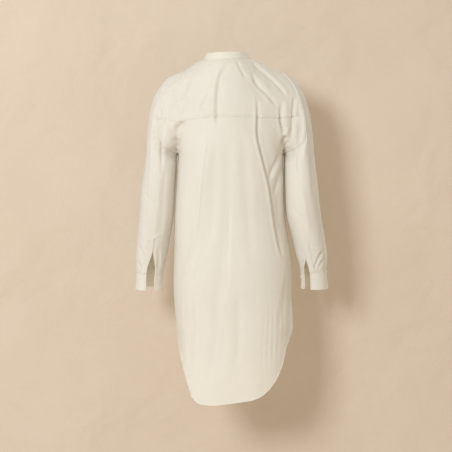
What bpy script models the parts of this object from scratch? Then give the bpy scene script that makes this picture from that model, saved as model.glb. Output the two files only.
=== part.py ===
"""A shirt dress of light cotton, filled out as worn but with nobody in it.

Metres, +Z up, the front faces -Y, +X is the wearer's left. The origin lies in the middle of the
neck opening, level with the crest of the shoulders. Heights are given as a drop below the origin.
Every piece that is cut and sewn is its own object, a thin wall whose outer face lies on one common
form: arches over the shoulders, rings round the body and rings round each arm.
"""
import math
from collections import namedtuple

import bmesh
import bpy
import numpy as np
from mathutils import Matrix, Vector

# ---------------------------------------------------------------- driving sizes
CLOTH = 0.0014            # wall of a single panel
BAND = 0.0020             # wall of a band: two layers and their interlining
SEAM_GAP = 0.0003         # between the edges of two pieces
LIFT = 0.0003             # between a piece and what it lies on

NECK_HALF = 0.0665        # half the width of the neck opening
NECK_SIDE = 0.0105        # how far its middle lies to the left
NECK_BACK = 0.062         # how far the neckline lies behind the origin
NECK_FRONT = 0.063        # and in front of it
NECK_MIDDLE = 0.006       # where its sides lie, fore and aft
COLLAR_HEIGHT = 0.022
COLLAR_LEAN = 0.55        # how much the collar band tips in over its height, at the sides
COLLAR_BACK_LEAN = 0.27   # and at the middle of the back
LAP = 0.015               # each front runs this far past the middle
LAP_DEPTH = 0.0026        # how far the under front lies below the upper one
LAP_RAMP = 0.030          # width over which it gets there

YOKE_MIDDLE = 0.105       # half width of the yoke seam that hangs below the neck opening
SHOULDER_TURN = -14.0     # the shoulder seam lies this far in front of the crest, degrees
SHOULDER_SETTLES = 0.4    # share of the seam, from the neck, within which it gets there
UNDERARM_HALF = 0.150     # half width of the body between the underarm points
UNDERARM_DROP = 0.272

SLEEVE_START = 0.305      # drop of the first full ring of a sleeve
CUFF_HEIGHT = 0.050
CUFF_LIP = 0.0004         # a cuff stands this far outside the end of its sleeve
PLACKET_TURN = 20.0       # a sleeve placket is this wide, degrees round the arm

BUTTON_RADIUS = 0.0055
BUTTON_THICK = 0.0024
BUTTON_SIDES = 20
FRONT_BUTTONS = 8
FIRST_BUTTON = 0.125      # drop of the first button below the neck
BUTTON_SPACING = 0.092

NECK_CELLS = 8            # cells along a quarter of the neckline, and along the yoke below it
SHOULDER_CELLS = 8        # cells along a shoulder seam
FRONT_NECK_CELLS = 6      # cells along half the front neckline
ARMHOLE_CELLS = {"back": 8, "yoke": 7, "front": 9}
UNDERARM_CROWDING = 0.2   # how much closer together the cells get toward the underarm
BELOW_NECK = 0.5          # share of the yoke's columns that lead to the neckline
ROW_SAMPLES = 81          # points that the length of a row is measured at
STEP_X, STEP_TURN, STEP_DROP = 0.002, 0.5, 0.004      # small steps that a normal is measured over
SIDE_CELLS = 11           # cells along a side seam
TAIL_CELLS = 6            # cells along the rising sides of the hem
EDGE_REACH = 4            # how quickly a side border's bends fade inside a panel
SIDE_CROWDING = 1.4       # how much closer together the back's columns get toward the side seams
SLEEVE_CELLS = {"cap": 7, "arm": 9, "slit": 3}

LEFT, RIGHT = 1, -1
SIDE_NAMES = {LEFT: "left", RIGHT: "right"}
COTTON = (0.86, 0.83, 0.74)
SHELL = (0.80, 0.78, 0.70)


class Table:
    """Rows of named columns, read at any value of the first column on a smooth curve."""

    def __init__(self, columns, *rows, level_start=False):
        self.row = namedtuple("Row", columns)
        self.values = np.array(rows, dtype=float)
        self.keys = self.values[:, 0]
        self.slopes = np.gradient(self.values, self.keys, axis=0)
        if level_start:
            self.slopes[0, 1:] = 0.0

    def at(self, key):
        key = min(max(key, self.keys[0]), self.keys[-1])
        low = min(int(np.searchsorted(self.keys, key, side="right")) - 1, len(self.keys) - 2)
        span = self.keys[low + 1] - self.keys[low]
        t = (key - self.keys[low]) / span
        ease = t * t * (3 - 2 * t)
        values = (self.values[low] * (1 - ease) + self.values[low + 1] * ease
                  + self.slopes[low] * span * t * (1 - t) ** 2
                  - self.slopes[low + 1] * span * t * t * (1 - t))
        return self.row(*values)


# ---------------------------------------------------------------- the form of the body
# Rings round the body, from the underarms down.
RINGS = Table("drop middle half back side front square",
              (0.272, 0.000, 0.1500, 0.112, -0.008, -0.130, 2.4),
              (0.340, 0.001, 0.1530, 0.110, -0.008, -0.128, 2.4),
              (0.463, 0.002, 0.1585, 0.109, -0.006, -0.122, 2.3),
              (0.546, -0.004, 0.1635, 0.115, -0.004, -0.119, 2.3),
              (0.612, -0.006, 0.1675, 0.121, -0.002, -0.119, 2.3),
              (0.675, -0.006, 0.1670, 0.123, 0.000, -0.118, 2.3),
              (0.749, -0.011, 0.1660, 0.123, 0.000, -0.116, 2.3),
              (0.800, -0.013, 0.1635, 0.122, 0.000, -0.114, 2.3),
              (0.900, -0.013, 0.1600, 0.119, 0.000, -0.110, 2.3),
              (1.000, -0.013, 0.1580, 0.116, 0.000, -0.107, 2.3))

# Arches over the shoulders, front to back, at each distance from the middle. Inside the neck
# opening they are only lines that the neckline is cut from.
BACK_ARCHES = Table("x crest_y crest_drop wall fall",
                    (0.000, 0.045, 0.0000, 0.112, 0.184),
                    (0.035, 0.036, 0.0005, 0.109, 0.1765),
                    (0.068, 0.006, 0.001, 0.101, 0.170),
                    (0.100, 0.002, 0.0165, 0.091, 0.160),
                    (0.130, 0.000, 0.0345, 0.078, 0.150),
                    (0.160, -0.002, 0.0480, 0.066, 0.135),
                    (0.190, -0.004, 0.0700, 0.058, 0.115),
                    (0.220, -0.006, 0.1150, 0.050, 0.085),
                    (0.240, -0.008, 0.1700, 0.044, 0.060), level_start=True)
FRONT_ARCHES = Table("x crest_y crest_drop wall fall",
                     (0.000, 0.020, 0.000, -0.130, 0.270),
                     (0.035, 0.016, 0.000, -0.131, 0.265),
                     (0.068, 0.006, 0.001, -0.127, 0.255),
                     (0.100, 0.002, 0.0165, -0.116, 0.240),
                     (0.130, 0.000, 0.0345, -0.098, 0.220),
                     (0.160, -0.002, 0.0480, -0.080, 0.200),
                     (0.190, -0.004, 0.0700, -0.066, 0.160),
                     (0.220, -0.006, 0.1150, -0.054, 0.110), level_start=True)
ARCH_SIDE = 0.007         # near the neck the arches' own middle lies this far to the left
ARCH_SIDE_ENDS = (0.07, 0.15)             # it fades between these distances
BACK_BOW = 1.1            # how full an arch is behind and before its crest: 1 is an ellipse
FRONT_BOW = 1.25

# The crease into each armpit, where the torso parts from the arm.
PIT_TOP = 0.158
PIT_TOP_HALF = 0.138
PIT_WIDTH = 0.055
PIT_DEEPENS = 3.5         # the crease deepens late: the power of the way down it
PIT_NARROWS = 6           # and the more so the nearer to it: a power of the way across
PIT_FADES = 1.3           # beyond it, on the arm's side, it fades with this power

# Seam lines. A way runs from 0 to 1 along the seam. Turns go round the shoulder from its crest.
YOKE_SEAM = Table("x drop",
                  (-0.2072, 0.165), (-0.150, 0.174), (-0.087, 0.176), (0.000, 0.1755),
                  (0.087, 0.177), (0.135, 0.184), (0.2112, 0.179))
YOKE_ARMHOLE = Table("way left left_turn right right_turn",
                     (0.00, 0.1310, -14.0, 0.1560, -14.0),
                     (0.10, 0.1280, 0.0, 0.1533, 0.0),
                     (0.20, 0.1310, 12.0, 0.1570, 8.0),
                     (0.32, 0.1430, 25.0, 0.1660, 17.0),
                     (0.48, 0.1640, 36.0, 0.1810, 28.0),
                     (0.64, 0.1900, 41.0, 0.1920, 40.0),
                     (0.80, 0.2080, 48.0, 0.1995, 53.0),
                     (0.90, 0.2130, 61.0, 0.2042, 64.0),
                     (1.00, 0.2112, 80.0, 0.2072, 77.0))
BACK_ARMHOLE = Table("way left right drop",
                     (0.00, 0.2112, 0.2072, 0.172),
                     (0.22, 0.2160, 0.2120, 0.198),
                     (0.45, 0.2140, 0.2110, 0.225),
                     (0.65, 0.2040, 0.2020, 0.246),
                     (0.80, 0.1880, 0.1870, 0.2595),
                     (0.90, 0.1700, 0.1700, 0.2670),
                     (1.00, 0.1500, 0.1500, 0.2720))
FRONT_ARMHOLE = Table("way left right drop",
                      (0.00, 0.1310, 0.1560, 0.040),
                      (0.12, 0.1380, 0.1580, 0.072),
                      (0.30, 0.1450, 0.1580, 0.112),
                      (0.50, 0.1500, 0.1570, 0.160),
                      (0.70, 0.1525, 0.1555, 0.208),
                      (0.88, 0.1525, 0.1535, 0.250),
                      (1.00, 0.1500, 0.1500, 0.272))
SIDE_END = {LEFT: 0.798, RIGHT: 0.769}

# The hem: its rising sides, from the end of each side seam, then its bottom. Turns go round the
# body from the middle of the panel.
BACK_HEM_SIDES = Table("way left_turn left right_turn right",
                       (0.00, 90.0, 0.798, 90.0, 0.769),
                       (0.25, 74.0, 0.842, 63.0, 0.808),
                       (0.50, 62.5, 0.882, 54.5, 0.862),
                       (0.75, 54.5, 0.922, 45.0, 0.903),
                       (1.00, 48.0, 0.958, 34.0, 0.936))
BACK_HEM_BOTTOM = Table("turn drop",
                        (-34.0, 0.936), (-23.6, 0.956), (-14.0, 0.966), (-5.0, 0.9705),
                        (4.0, 0.975), (15.0, 0.9795), (27.0, 0.9802), (39.0, 0.9750), (48.0, 0.958))
FRONT_HEM_SIDES = Table("way left_turn left right_turn right",
                        (0.00, 90.0, 0.798, 90.0, 0.769),
                        (0.30, 68.0, 0.824, 62.0, 0.800),
                        (0.60, 56.0, 0.858, 51.0, 0.838),
                        (1.00, 43.0, 0.900, 38.0, 0.886))
FRONT_HEM_BOTTOM = 0.925
FRONT_HEM_RISES = 3       # it rises to the side with this power of the way there

# ---------------------------------------------------------------- the form of the arms
ARMS = {
    LEFT: Table("drop outer inner middle_y depth lean",
                (0.305, 0.2455, 0.1538, 0.000, 0.064, 0.0),
                (0.377, 0.2560, 0.1582, 0.002, 0.066, 0.0),
                (0.450, 0.2620, 0.1628, 0.000, 0.063, 0.01),
                (0.520, 0.2685, 0.1745, -0.007, 0.057, 0.04),
                (0.565, 0.2720, 0.1820, -0.013, 0.051, 0.07),
                (0.611, 0.2715, 0.1925, -0.018, 0.044, 0.10),
                (0.665, 0.2745, 0.1935, -0.024, 0.041, 0.10)),
    RIGHT: Table("drop outer inner middle_y depth lean",
                 (0.305, 0.2425, 0.1530, 0.000, 0.064, 0.0),
                 (0.377, 0.2515, 0.1548, 0.002, 0.066, 0.0),
                 (0.450, 0.2590, 0.1588, 0.000, 0.063, 0.01),
                 (0.520, 0.2710, 0.1785, -0.007, 0.057, 0.04),
                 (0.565, 0.2775, 0.1890, -0.013, 0.051, 0.07),
                 (0.611, 0.2760, 0.2025, -0.018, 0.044, 0.10),
                 (0.665, 0.2810, 0.2035, -0.024, 0.041, 0.10)),
}
ARM_SQUARE = 2.1
CAP_PULL = 0.80           # how strongly a sleeve comes down on its first ring
# How steeply and how strongly it leaves the armhole, and how closely it follows on from the body
# there, by where the armhole lies.
CAP_LEAVES = {
    LEFT: Table("drop slope pull follow",
                (0.036, 0.26, 1.38, 0.0), (0.080, 0.55, 1.10, 0.35), (0.120, 1.20, 0.75, 0.85),
                (0.180, 2.00, 0.65, 1.0), (0.215, 2.60, 0.80, 1.0)),
    RIGHT: Table("drop slope pull follow",
                 (0.046, 0.32, 0.95, 0.0), (0.080, 0.70, 0.80, 0.5), (0.120, 1.50, 0.62, 1.0),
                 (0.180, 2.80, 0.55, 1.0), (0.215, 3.00, 0.80, 1.0)),
}
CAP_TURNS = 0.215         # from this drop it turns toward the way it leaves the underarm
PIT_LEAN = 0.6            # and how far it leans out from the body at the underarm
EASE_TOP, EASE_HEIGHT = 0.262, 0.008      # around the underarm point the sleeve keeps further off
EASE = 0.4                # share of a cell
CUFF_TOP = {LEFT: 0.6105, RIGHT: 0.6080}
# A slit: the drop of its top and of the placket's, where it faces (0 outward, 90 back), its gap.
Slit = namedtuple("Slit", "placket_top top facing cuff_facing half_gap")
SLITS = {LEFT: Slit(0.5155, 0.5430, 95.0, 97.0, 17.0),
         RIGHT: Slit(0.5255, 0.5650, 115.0, 125.0, 16.0)}

# ---------------------------------------------------------------- folds
# A fold is a trough (or with a minus a ridge) along a path of (x, drop) points on one face.
Fold = namedtuple("Fold", "name depth spread path")
BACK_FOLDS = (
    Fold("yoke, from the collar", 0.0045, 0.011,
         ((0.002, 0.018), (0.018, 0.038), (0.031, 0.056), (0.038, 0.086), (0.041, 0.122),
          (0.042, 0.177), (0.038, 0.268))),
    Fold("yoke, beside the collar", 0.003, 0.010, ((-0.018, 0.012), (-0.029, 0.038), (-0.042, 0.069))),
    Fold("yoke to armpit", 0.0045, 0.012,
         ((-0.059, 0.041), (-0.067, 0.070), (-0.076, 0.087), (-0.097, 0.108), (-0.115, 0.136))),
    Fold("right shoulder", 0.005, 0.010,
         ((-0.052, 0.003), (-0.085, 0.032), (-0.124, 0.068), (-0.150, 0.097), (-0.163, 0.121))),
    Fold("long slanting fold", 0.012, 0.013,
         ((-0.068, 0.105), (-0.075, 0.145), (-0.074, 0.176), (-0.0745, 0.225), (-0.088, 0.285),
          (-0.109, 0.367), (-0.125, 0.474), (-0.1335, 0.550), (-0.1496, 0.620), (-0.156, 0.657))),
    Fold("left yoke ridge", -0.007, 0.012,
         ((0.094, 0.042), (0.118, 0.100), (0.134, 0.141), (0.150, 0.171), (0.165, 0.197))),
    Fold("left shoulder hollow", 0.005, 0.013, ((0.147, 0.080), (0.149, 0.100), (0.151, 0.128))),
    Fold("left yoke corner", 0.004, 0.009, ((0.066, 0.118), (0.083, 0.146), (0.0885, 0.165))),
    Fold("left arm crease", 0.006, 0.009,
         ((0.182, 0.102), (0.193, 0.128), (0.188, 0.171), (0.189, 0.191), (0.192, 0.226),
          (0.192, 0.305), (0.196, 0.400))),
    Fold("right arm crease", 0.006, 0.009,
         ((-0.1805, 0.105), (-0.172, 0.177), (-0.171, 0.205), (-0.166, 0.245))),
    Fold("right outer crease", 0.004, 0.009,
         ((-0.194, 0.122), (-0.189, 0.151), (-0.191, 0.177), (-0.188, 0.316), (-0.194, 0.390))),
    Fold("right armpit", 0.007, 0.010, ((-0.142, 0.276), (-0.130, 0.305), (-0.109, 0.359))),
    Fold("left long ridge", -0.007, 0.016,
         ((0.063, 0.215), (0.071, 0.279), (0.080, 0.360), (0.091, 0.474), (0.103, 0.550),
          (0.124, 0.623), (0.144, 0.671))),
    Fold("middle trough", 0.007, 0.024,
         ((0.000, 0.260), (0.002, 0.474), (0.014, 0.564), (0.016, 0.641), (0.031, 0.702),
          (0.016, 0.780), (0.020, 0.841), (0.040, 0.919))),
    Fold("left low trough", 0.004, 0.016,
         ((0.116, 0.679), (0.112, 0.743), (0.120, 0.825), (0.116, 0.904))),
    Fold("right low trough", 0.003, 0.016, ((-0.136, 0.700), (-0.137, 0.780), (-0.136, 0.850))),
)
FRONT_FOLDS = (
    Fold("left chest", 0.006, 0.014, ((0.060, 0.120), (0.085, 0.180), (0.105, 0.250), (0.112, 0.330))),
    Fold("right chest", 0.006, 0.014,
         ((-0.060, 0.120), (-0.082, 0.185), (-0.100, 0.250), (-0.110, 0.340))),
    Fold("left long trough", 0.008, 0.020,
         ((0.085, 0.300), (0.088, 0.450), (0.095, 0.620), (0.090, 0.780), (0.098, 0.880))),
    Fold("right long trough", 0.008, 0.018,
         ((-0.078, 0.330), (-0.086, 0.470), (-0.098, 0.600), (-0.105, 0.740), (-0.100, 0.870))),
    Fold("left side ridge", -0.005, 0.014, ((0.125, 0.420), (0.130, 0.560), (0.128, 0.720))),
    Fold("right side ridge", -0.005, 0.014, ((-0.122, 0.400), (-0.134, 0.540), (-0.136, 0.700))),
    Fold("left sleeve", 0.006, 0.011, ((0.185, 0.150), (0.190, 0.240), (0.196, 0.360))),
    Fold("right sleeve", 0.006, 0.011, ((-0.186, 0.150), (-0.192, 0.235), (-0.196, 0.350))),
)


def smooth(t):
    """Ease from 0 to 1."""
    t = min(max(t, 0.0), 1.0)
    return t * t * (3 - 2 * t)


def mix(a, b, share):
    return a + (b - a) * share


def fold_depth(fold, x, drop):
    """How deep one fold is at a place; it fades toward both ends of its path."""
    legs = [math.dist(a, b) for a, b in zip(fold.path, fold.path[1:])]
    best, along, walked = 1.0, 0.0, 0.0
    for (ax, ad), (bx, bd), leg in zip(fold.path, fold.path[1:], legs):
        t = min(max(((x - ax) * (bx - ax) + (drop - ad) * (bd - ad)) / leg ** 2, 0.0), 1.0)
        gap = math.hypot(x - mix(ax, bx, t), drop - mix(ad, bd, t))
        if gap < best:
            best, along = gap, walked + leg * t
        walked += leg
    fade = smooth(along / walked / 0.22) * smooth((1 - along / walked) / 0.22)
    return fold.depth * fade * math.exp(-(best / fold.spread) ** 2)


def folded(point, normal):
    """A point of the plain form, pushed in or out by the folds of the face it lies on."""
    folds = BACK_FOLDS if normal.y > 0 else FRONT_FOLDS
    share = smooth((abs(normal.y) - 0.12) / 0.5)
    if share == 0:
        return point.copy()
    depth = sum(fold_depth(fold, point.x, -point.z) for fold in folds)
    return point - normal * depth * share


# ---------------------------------------------------------------- places on the plain form
def ring_point(turn, drop):
    """On the body below the underarms; turn 0 is the middle of the back, 90 the left side."""
    ring = RINGS.at(drop)
    sine = math.sin(math.radians(turn))
    cosine = math.cos(math.radians(turn))
    reach = (ring.back if cosine > 0 else ring.front) - ring.side
    return Vector((ring.middle + ring.half * math.copysign(abs(sine) ** (2 / ring.square), sine),
                   ring.side + reach * abs(cosine) ** (2 / ring.square),
                   -drop))


def arch_reach(x):
    """Distance of a line from the arches' middle."""
    near, far = ARCH_SIDE_ENDS
    return abs(x - ARCH_SIDE * (1 - smooth((abs(x) - near) / (far - near))))


def arch_point(x, turn):
    """On the upper body; turn 0 is the crest of the shoulder, 90 where the back stands upright."""
    table, bow = (BACK_ARCHES, BACK_BOW) if turn >= 0 else (FRONT_ARCHES, FRONT_BOW)
    arch = table.at(arch_reach(x))
    bend = math.radians(min(abs(turn), 90.0))
    y = mix(arch.crest_y, arch.wall, math.sin(bend) ** bow)
    drop = arch.crest_drop + arch.fall * (1 - math.cos(bend) ** bow)
    drop += arch.fall * max(abs(turn) - 90.0, 0.0) / 90.0
    return pit_creased(Vector((x, y, -drop)), 1 if turn >= 0 else -1)


def arch_turn(x, drop, face):
    """The turn at which an arch reaches a drop; face is 1 behind and -1 in front."""
    table, bow = (BACK_ARCHES, BACK_BOW) if face > 0 else (FRONT_ARCHES, FRONT_BOW)
    arch = table.at(arch_reach(x))
    share = (drop - arch.crest_drop) / arch.fall
    if share >= 1:
        return face * 90.0 * share
    return face * math.degrees(math.acos((1 - max(share, 0.0)) ** (1 / bow)))


def pit_creased(point, face):
    """The upper body drawn in toward the armpits, until it meets the first ring."""
    down = (-point.z - PIT_TOP) / (UNDERARM_DROP - PIT_TOP)
    if down <= 0:
        return point
    crease = mix(PIT_TOP_HALF, UNDERARM_HALF, down)
    ring = RINGS.at(UNDERARM_DROP)
    reach = abs(point.x)
    share = mix(smooth(down), down ** PIT_DEEPENS, min(reach / crease, 1.0) ** PIT_NARROWS)
    if reach <= crease:
        turn = math.degrees(math.asin(min((reach / crease) ** (ring.square / 2), 1.0)))
        target = ring_point(turn if face > 0 else 180.0 - turn, UNDERARM_DROP).y
        return Vector((point.x, mix(point.y, target, share), point.z))
    fade = max(1 - (reach - crease) / PIT_WIDTH, 0.0) ** PIT_FADES
    return Vector((point.x, mix(point.y, ring.side, share * fade), point.z))


def neck_place(angle):
    """Where the neckline crosses the arches; angle 0 is the middle of the back, 90 the left side."""
    x = NECK_SIDE + NECK_HALF * math.sin(math.radians(angle))
    cosine = math.cos(math.radians(angle))
    face = 1 if cosine >= 0 else -1
    y = NECK_MIDDLE + (NECK_BACK - NECK_MIDDLE if face > 0 else NECK_FRONT + NECK_MIDDLE) * cosine
    table, bow = (BACK_ARCHES, BACK_BOW) if face > 0 else (FRONT_ARCHES, FRONT_BOW)
    arch = table.at(arch_reach(x))
    share = min(max((y - arch.crest_y) / (arch.wall - arch.crest_y), 0.0), 1.0)
    return x, face * math.degrees(math.asin(share ** (1 / bow)))


def shoulder_place(side, way):
    """Along a shoulder seam, from the neck point (way 0) to the armhole."""
    x = mix(NECK_HALF + side * NECK_SIDE, sided(YOKE_ARMHOLE.at(0.0), side), way)
    return side * x, SHOULDER_TURN * smooth(way / SHOULDER_SETTLES)


def frame_of(surface, a, b, step_a, step_b):
    """A point of a surface and its outward normal, by small steps across it."""
    along = surface(a + step_a, b) - surface(a - step_a, b)
    across = surface(a, b + step_b) - surface(a, b - step_b)
    return surface(a, b), along.cross(across).normalized()


def body_frame(place, kind):
    """Point and outward normal on the body, from (turn, drop) or (x, turn) places."""
    if kind == "arch":
        return frame_of(arch_point, place[0], place[1], STEP_X, 2 * STEP_TURN)
    return frame_of(ring_point, place[0], place[1], STEP_TURN, STEP_DROP)


def coons(bottom, top, low, high, u, v):
    """A place inside four border lines; each gives a pair of numbers. The side lines low and high
    bend only what lies near them."""
    def ruled(u):
        return mix(np.array(bottom(u), dtype=float), np.array(top(u), dtype=float), v)
    return tuple(ruled(u) + (1 - u) ** EDGE_REACH * (np.array(low(v)) - ruled(0.0))
                 + u ** EDGE_REACH * (np.array(high(v)) - ruled(1.0)))


# ---------------------------------------------------------------- walls
Spot = namedtuple("Spot", "point normal")


def spread(spots):
    """A grid of spots of the plain form, with its folds pressed in."""
    return [[Spot(folded(spot.point, spot.normal), spot.normal) for spot in row] for row in spots]


def place_key(point):
    return tuple(round(value, 6) for value in point)


def welded(grids, sleeves):
    """The same grids with the normals of one smooth skin, so that walls meet in a mitre at seams."""
    sums = {}
    for spots in grids:
        faces = []
        for above, below in zip(spots, spots[1:]):
            for c in range(len(above) - 1):
                corners = (above[c], above[c + 1], below[c + 1], below[c])
                across = corners[1].point - corners[3].point
                faces.append((corners, (corners[2].point - corners[0].point).cross(across)))
        outward = sum(normal.normalized().dot(corners[0].normal) for corners, normal in faces)
        for corners, normal in faces:
            for corner in corners:
                total = sums.setdefault(place_key(corner.point), Vector())
                total += normal if outward > 0 else -normal
    for sleeve in sleeves:
        loop = [spot.point for spot in sleeve[0][:-1]]
        centre = sum(loop, Vector()) / len(loop)
        for before, point, after in zip(loop[-1:] + loop, loop, loop[1:] + loop):
            along = (after - before).normalized()
            normal = sums[place_key(point)].normalized() + (point - centre).normalized()
            sums[place_key(point)] = normal - along * normal.dot(along)
    return [softened([[Spot(spot.point, sums[place_key(spot.point)].normalized()) for spot in row]
                      for row in spots]) for spots in grids]


def softened(spots):
    """Each inner normal of a grid, evened out with its neighbours'."""
    rows = [list(row) for row in spots]
    for r in range(1, len(spots) - 1):
        for c in range(1, len(spots[r]) - 1):
            around = (spots[r - 1][c], spots[r + 1][c], spots[r][c - 1], spots[r][c + 1])
            total = sum((spot.normal for spot in around), spots[r][c].normal * 2)
            rows[r][c] = Spot(spots[r][c].point, total.normalized())
    return rows


def moved(spots, distance):
    """The same grid, moved out along its normals."""
    return [[Spot(spot.point + spot.normal * distance, spot.normal) for spot in row] for row in spots]


def trimmed(spots, sides, gap=SEAM_GAP / 2):
    """The grid with the named borders drawn back, so that pieces don't touch at their seams."""
    rows = [list(row) for row in spots]

    def draw_back(spot, inner):
        toward = inner.point - spot.point
        return Spot(spot.point + toward.normalized() * gap, spot.normal)
    if "first_row" in sides:
        rows[0] = [draw_back(a, b) for a, b in zip(rows[0], rows[1])]
    if "last_row" in sides:
        rows[-1] = [draw_back(a, b) for a, b in zip(rows[-1], rows[-2])]
    for row in rows:
        if "first_column" in sides:
            row[0] = draw_back(row[0], row[1])
        if "last_column" in sides:
            row[-1] = draw_back(row[-1], row[-2])
    return rows


def wall(name, spots, thickness, material, tube_rows=0):
    """One closed wall: the grid is its outer face. In the first tube_rows rows of cells the last
    column meets the first, so the wall is a tube there and is slit below."""
    height, width = len(spots), len(spots[0])
    mesh = bmesh.new()

    def layer(depth):
        corners = []
        for r, row in enumerate(spots):
            line = [mesh.verts.new(spot.point - spot.normal * depth) for spot in row]
            if r <= tube_rows and tube_rows:
                mesh.verts.remove(line[-1])
                line[-1] = line[0]
            corners.append(line)
        return corners
    outer, inner = layer(0.0), layer(thickness)
    for r in range(height - 1):
        for c in range(width - 1):
            mesh.faces.new((outer[r][c], outer[r][c + 1], outer[r + 1][c + 1], outer[r + 1][c]))
            mesh.faces.new((inner[r + 1][c], inner[r + 1][c + 1], inner[r][c + 1], inner[r][c]))

    def rim(a, b):
        (ra, ca), (rb, cb) = a, b
        mesh.faces.new((outer[ra][ca], inner[ra][ca], inner[rb][cb], outer[rb][cb]))
    for c in range(width - 1):
        rim((0, c), (0, c + 1))
        rim((height - 1, c + 1), (height - 1, c))
    for r in range(tube_rows, height - 1):
        rim((r + 1, 0), (r, 0))
        rim((r, width - 1), (r + 1, width - 1))
    bmesh.ops.recalc_face_normals(mesh, faces=mesh.faces)
    data = bpy.data.meshes.new(name)
    mesh.to_mesh(data)
    mesh.free()
    piece = bpy.data.objects.new(name, data)
    garment.objects.link(piece)
    data.materials.append(material)
    data.shade_smooth()
    data.set_sharp_from_angle(angle=math.radians(50))
    return piece


# ---------------------------------------------------------------- panels of the body
BACK_COLUMNS = [c / (NECK_CELLS + SHOULDER_CELLS) for c in
                range(-NECK_CELLS - SHOULDER_CELLS, NECK_CELLS + SHOULDER_CELLS + 1)]


def back_turn(c):
    """The turn of a column of the back round the rings; c runs from -1 to 1."""
    return math.copysign(90.0 * (1 - (1 - abs(c)) ** SIDE_CROWDING), c)


def steps(count):
    return [k / count for k in range(count + 1)]


def armhole_ways(panel):
    """Steps from 0 to 1 down a panel's armhole, closer together toward the underarm."""
    return [mix(t, math.sin(math.radians(90.0 * t)), UNDERARM_CROWDING)
            for t in steps(ARMHOLE_CELLS[panel])]


def lengths_along(points):
    """Distance walked to each point of a line, as shares of its whole length."""
    walked = np.cumsum([0.0] + [(b - a).length for a, b in zip(points, points[1:])])
    return walked / walked[-1]


def evened(shares, place_at, underarm_at, v):
    """Where to take the columns of one row between the yoke and the underarm: at their own shares
    above, and lower down spaced over the surface as they are on the ring between the underarms."""
    fine = np.linspace(shares[0], shares[-1], ROW_SAMPLES)
    on_ring = lengths_along([underarm_at(share) for share in fine])
    on_row = lengths_along([arch_point(*place_at(share)) for share in fine])
    wanted = np.interp(shares, fine, on_ring)
    spaced = np.interp(wanted, on_row, fine)
    return [mix(share, even, v) for share, even in zip(shares, spaced)]


def sided(row, side):
    return row.left if side == LEFT else row.right


def lap_turn(half, square):
    """How far the lap of a front runs past the middle, as a turn round a ring."""
    return math.degrees(math.asin((LAP / half) ** (square / 2)))


def neck_lap_angle():
    return 180.0 + math.degrees(math.asin(LAP / NECK_HALF))


def yoke_seam_place(c):
    """Along the yoke seam, from the right armhole (c = -1) to the left one; an x and a drop."""
    side = LEFT if c >= 0 else RIGHT
    edge = sided(YOKE_ARMHOLE.at(1.0), side)
    below_neck = min(abs(c) / BELOW_NECK, 1.0) * YOKE_MIDDLE
    beyond = max(abs(c) - BELOW_NECK, 0.0) / (1 - BELOW_NECK)
    x = side * (below_neck + beyond * (edge - YOKE_MIDDLE))
    return x, YOKE_SEAM.at(x).drop


def back_armhole_place(side, way):
    """From the yoke seam (way 0) to the underarm, an x and a drop."""
    row = BACK_ARMHOLE.at(way)
    start = YOKE_SEAM.at(side * sided(row, side)).drop if way == 0 else yoke_seam_place(side)[1]
    table_start = BACK_ARMHOLE.at(0.0).drop
    share = (row.drop - table_start) / (UNDERARM_DROP - table_start)
    return side * sided(row, side), mix(start, UNDERARM_DROP, share)


def yoke_armhole_place(side, way):
    """From the shoulder seam (way 0), over the crest, to the yoke seam; an x and a turn."""
    row = YOKE_ARMHOLE.at(way)
    x, turn = (row.left, row.left_turn) if side == LEFT else (row.right, row.right_turn)
    last = YOKE_ARMHOLE.at(1.0)
    corner = arch_turn(sided(last, side), yoke_seam_place(side)[1], 1)
    if turn > 0:
        turn *= corner / (last.left_turn if side == LEFT else last.right_turn)
    return side * x, turn


def front_armhole_place(side, way):
    """From the shoulder seam (way 0) to the underarm, an x and a turn."""
    row = FRONT_ARMHOLE.at(way)
    start = -arch_point(*shoulder_place(side, 1.0)).z
    table_start = FRONT_ARMHOLE.at(0.0).drop
    share = (row.drop - table_start) / (UNDERARM_DROP - table_start)
    x = sided(row, side)
    if way == 0:
        return shoulder_place(side, 1.0)
    return side * x, arch_turn(x, mix(start, UNDERARM_DROP, share), -1)


def back_upper_spots():
    """The back from the yoke seam to the ring between the underarms."""
    def underarm_line(u):
        return ring_point(back_turn(2 * u - 1), UNDERARM_DROP).x, UNDERARM_DROP

    def place_at(c, v):
        x, drop = coons(lambda u: yoke_seam_place(2 * u - 1), underarm_line,
                        lambda way: back_armhole_place(RIGHT, way),
                        lambda way: back_armhole_place(LEFT, way), (c + 1) / 2, v)
        return x, arch_turn(x, drop, 1)
    rows = []
    for v in armhole_ways("back")[:-1]:
        columns = evened(BACK_COLUMNS, lambda c: place_at(c, v),
                         lambda c: ring_point(back_turn(c), UNDERARM_DROP), v)
        rows.append([Spot(*body_frame(place_at(c, v), "arch")) for c in columns])
    rows.append([Spot(*body_frame((back_turn(c), UNDERARM_DROP), "ring")) for c in BACK_COLUMNS])
    return rows


def yoke_spots():
    """The yoke from the neckline and the shoulder seams down to the yoke seam."""
    def upper(u):
        c = 2 * u - 1
        if abs(c) <= BELOW_NECK:
            return neck_place(90.0 * c / BELOW_NECK)
        return shoulder_place(LEFT if c > 0 else RIGHT, (abs(c) - BELOW_NECK) / (1 - BELOW_NECK))

    def lower(u):
        x, drop = yoke_seam_place(2 * u - 1)
        return x, arch_turn(x, drop, 1)
    rows = []
    for v in steps(ARMHOLE_CELLS["yoke"]):
        places = [coons(upper, lower, lambda way: yoke_armhole_place(RIGHT, way),
                        lambda way: yoke_armhole_place(LEFT, way), (c + 1) / 2, v)
                  for c in BACK_COLUMNS]
        rows.append([Spot(*body_frame(place, "arch")) for place in places])
    return rows


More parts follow.
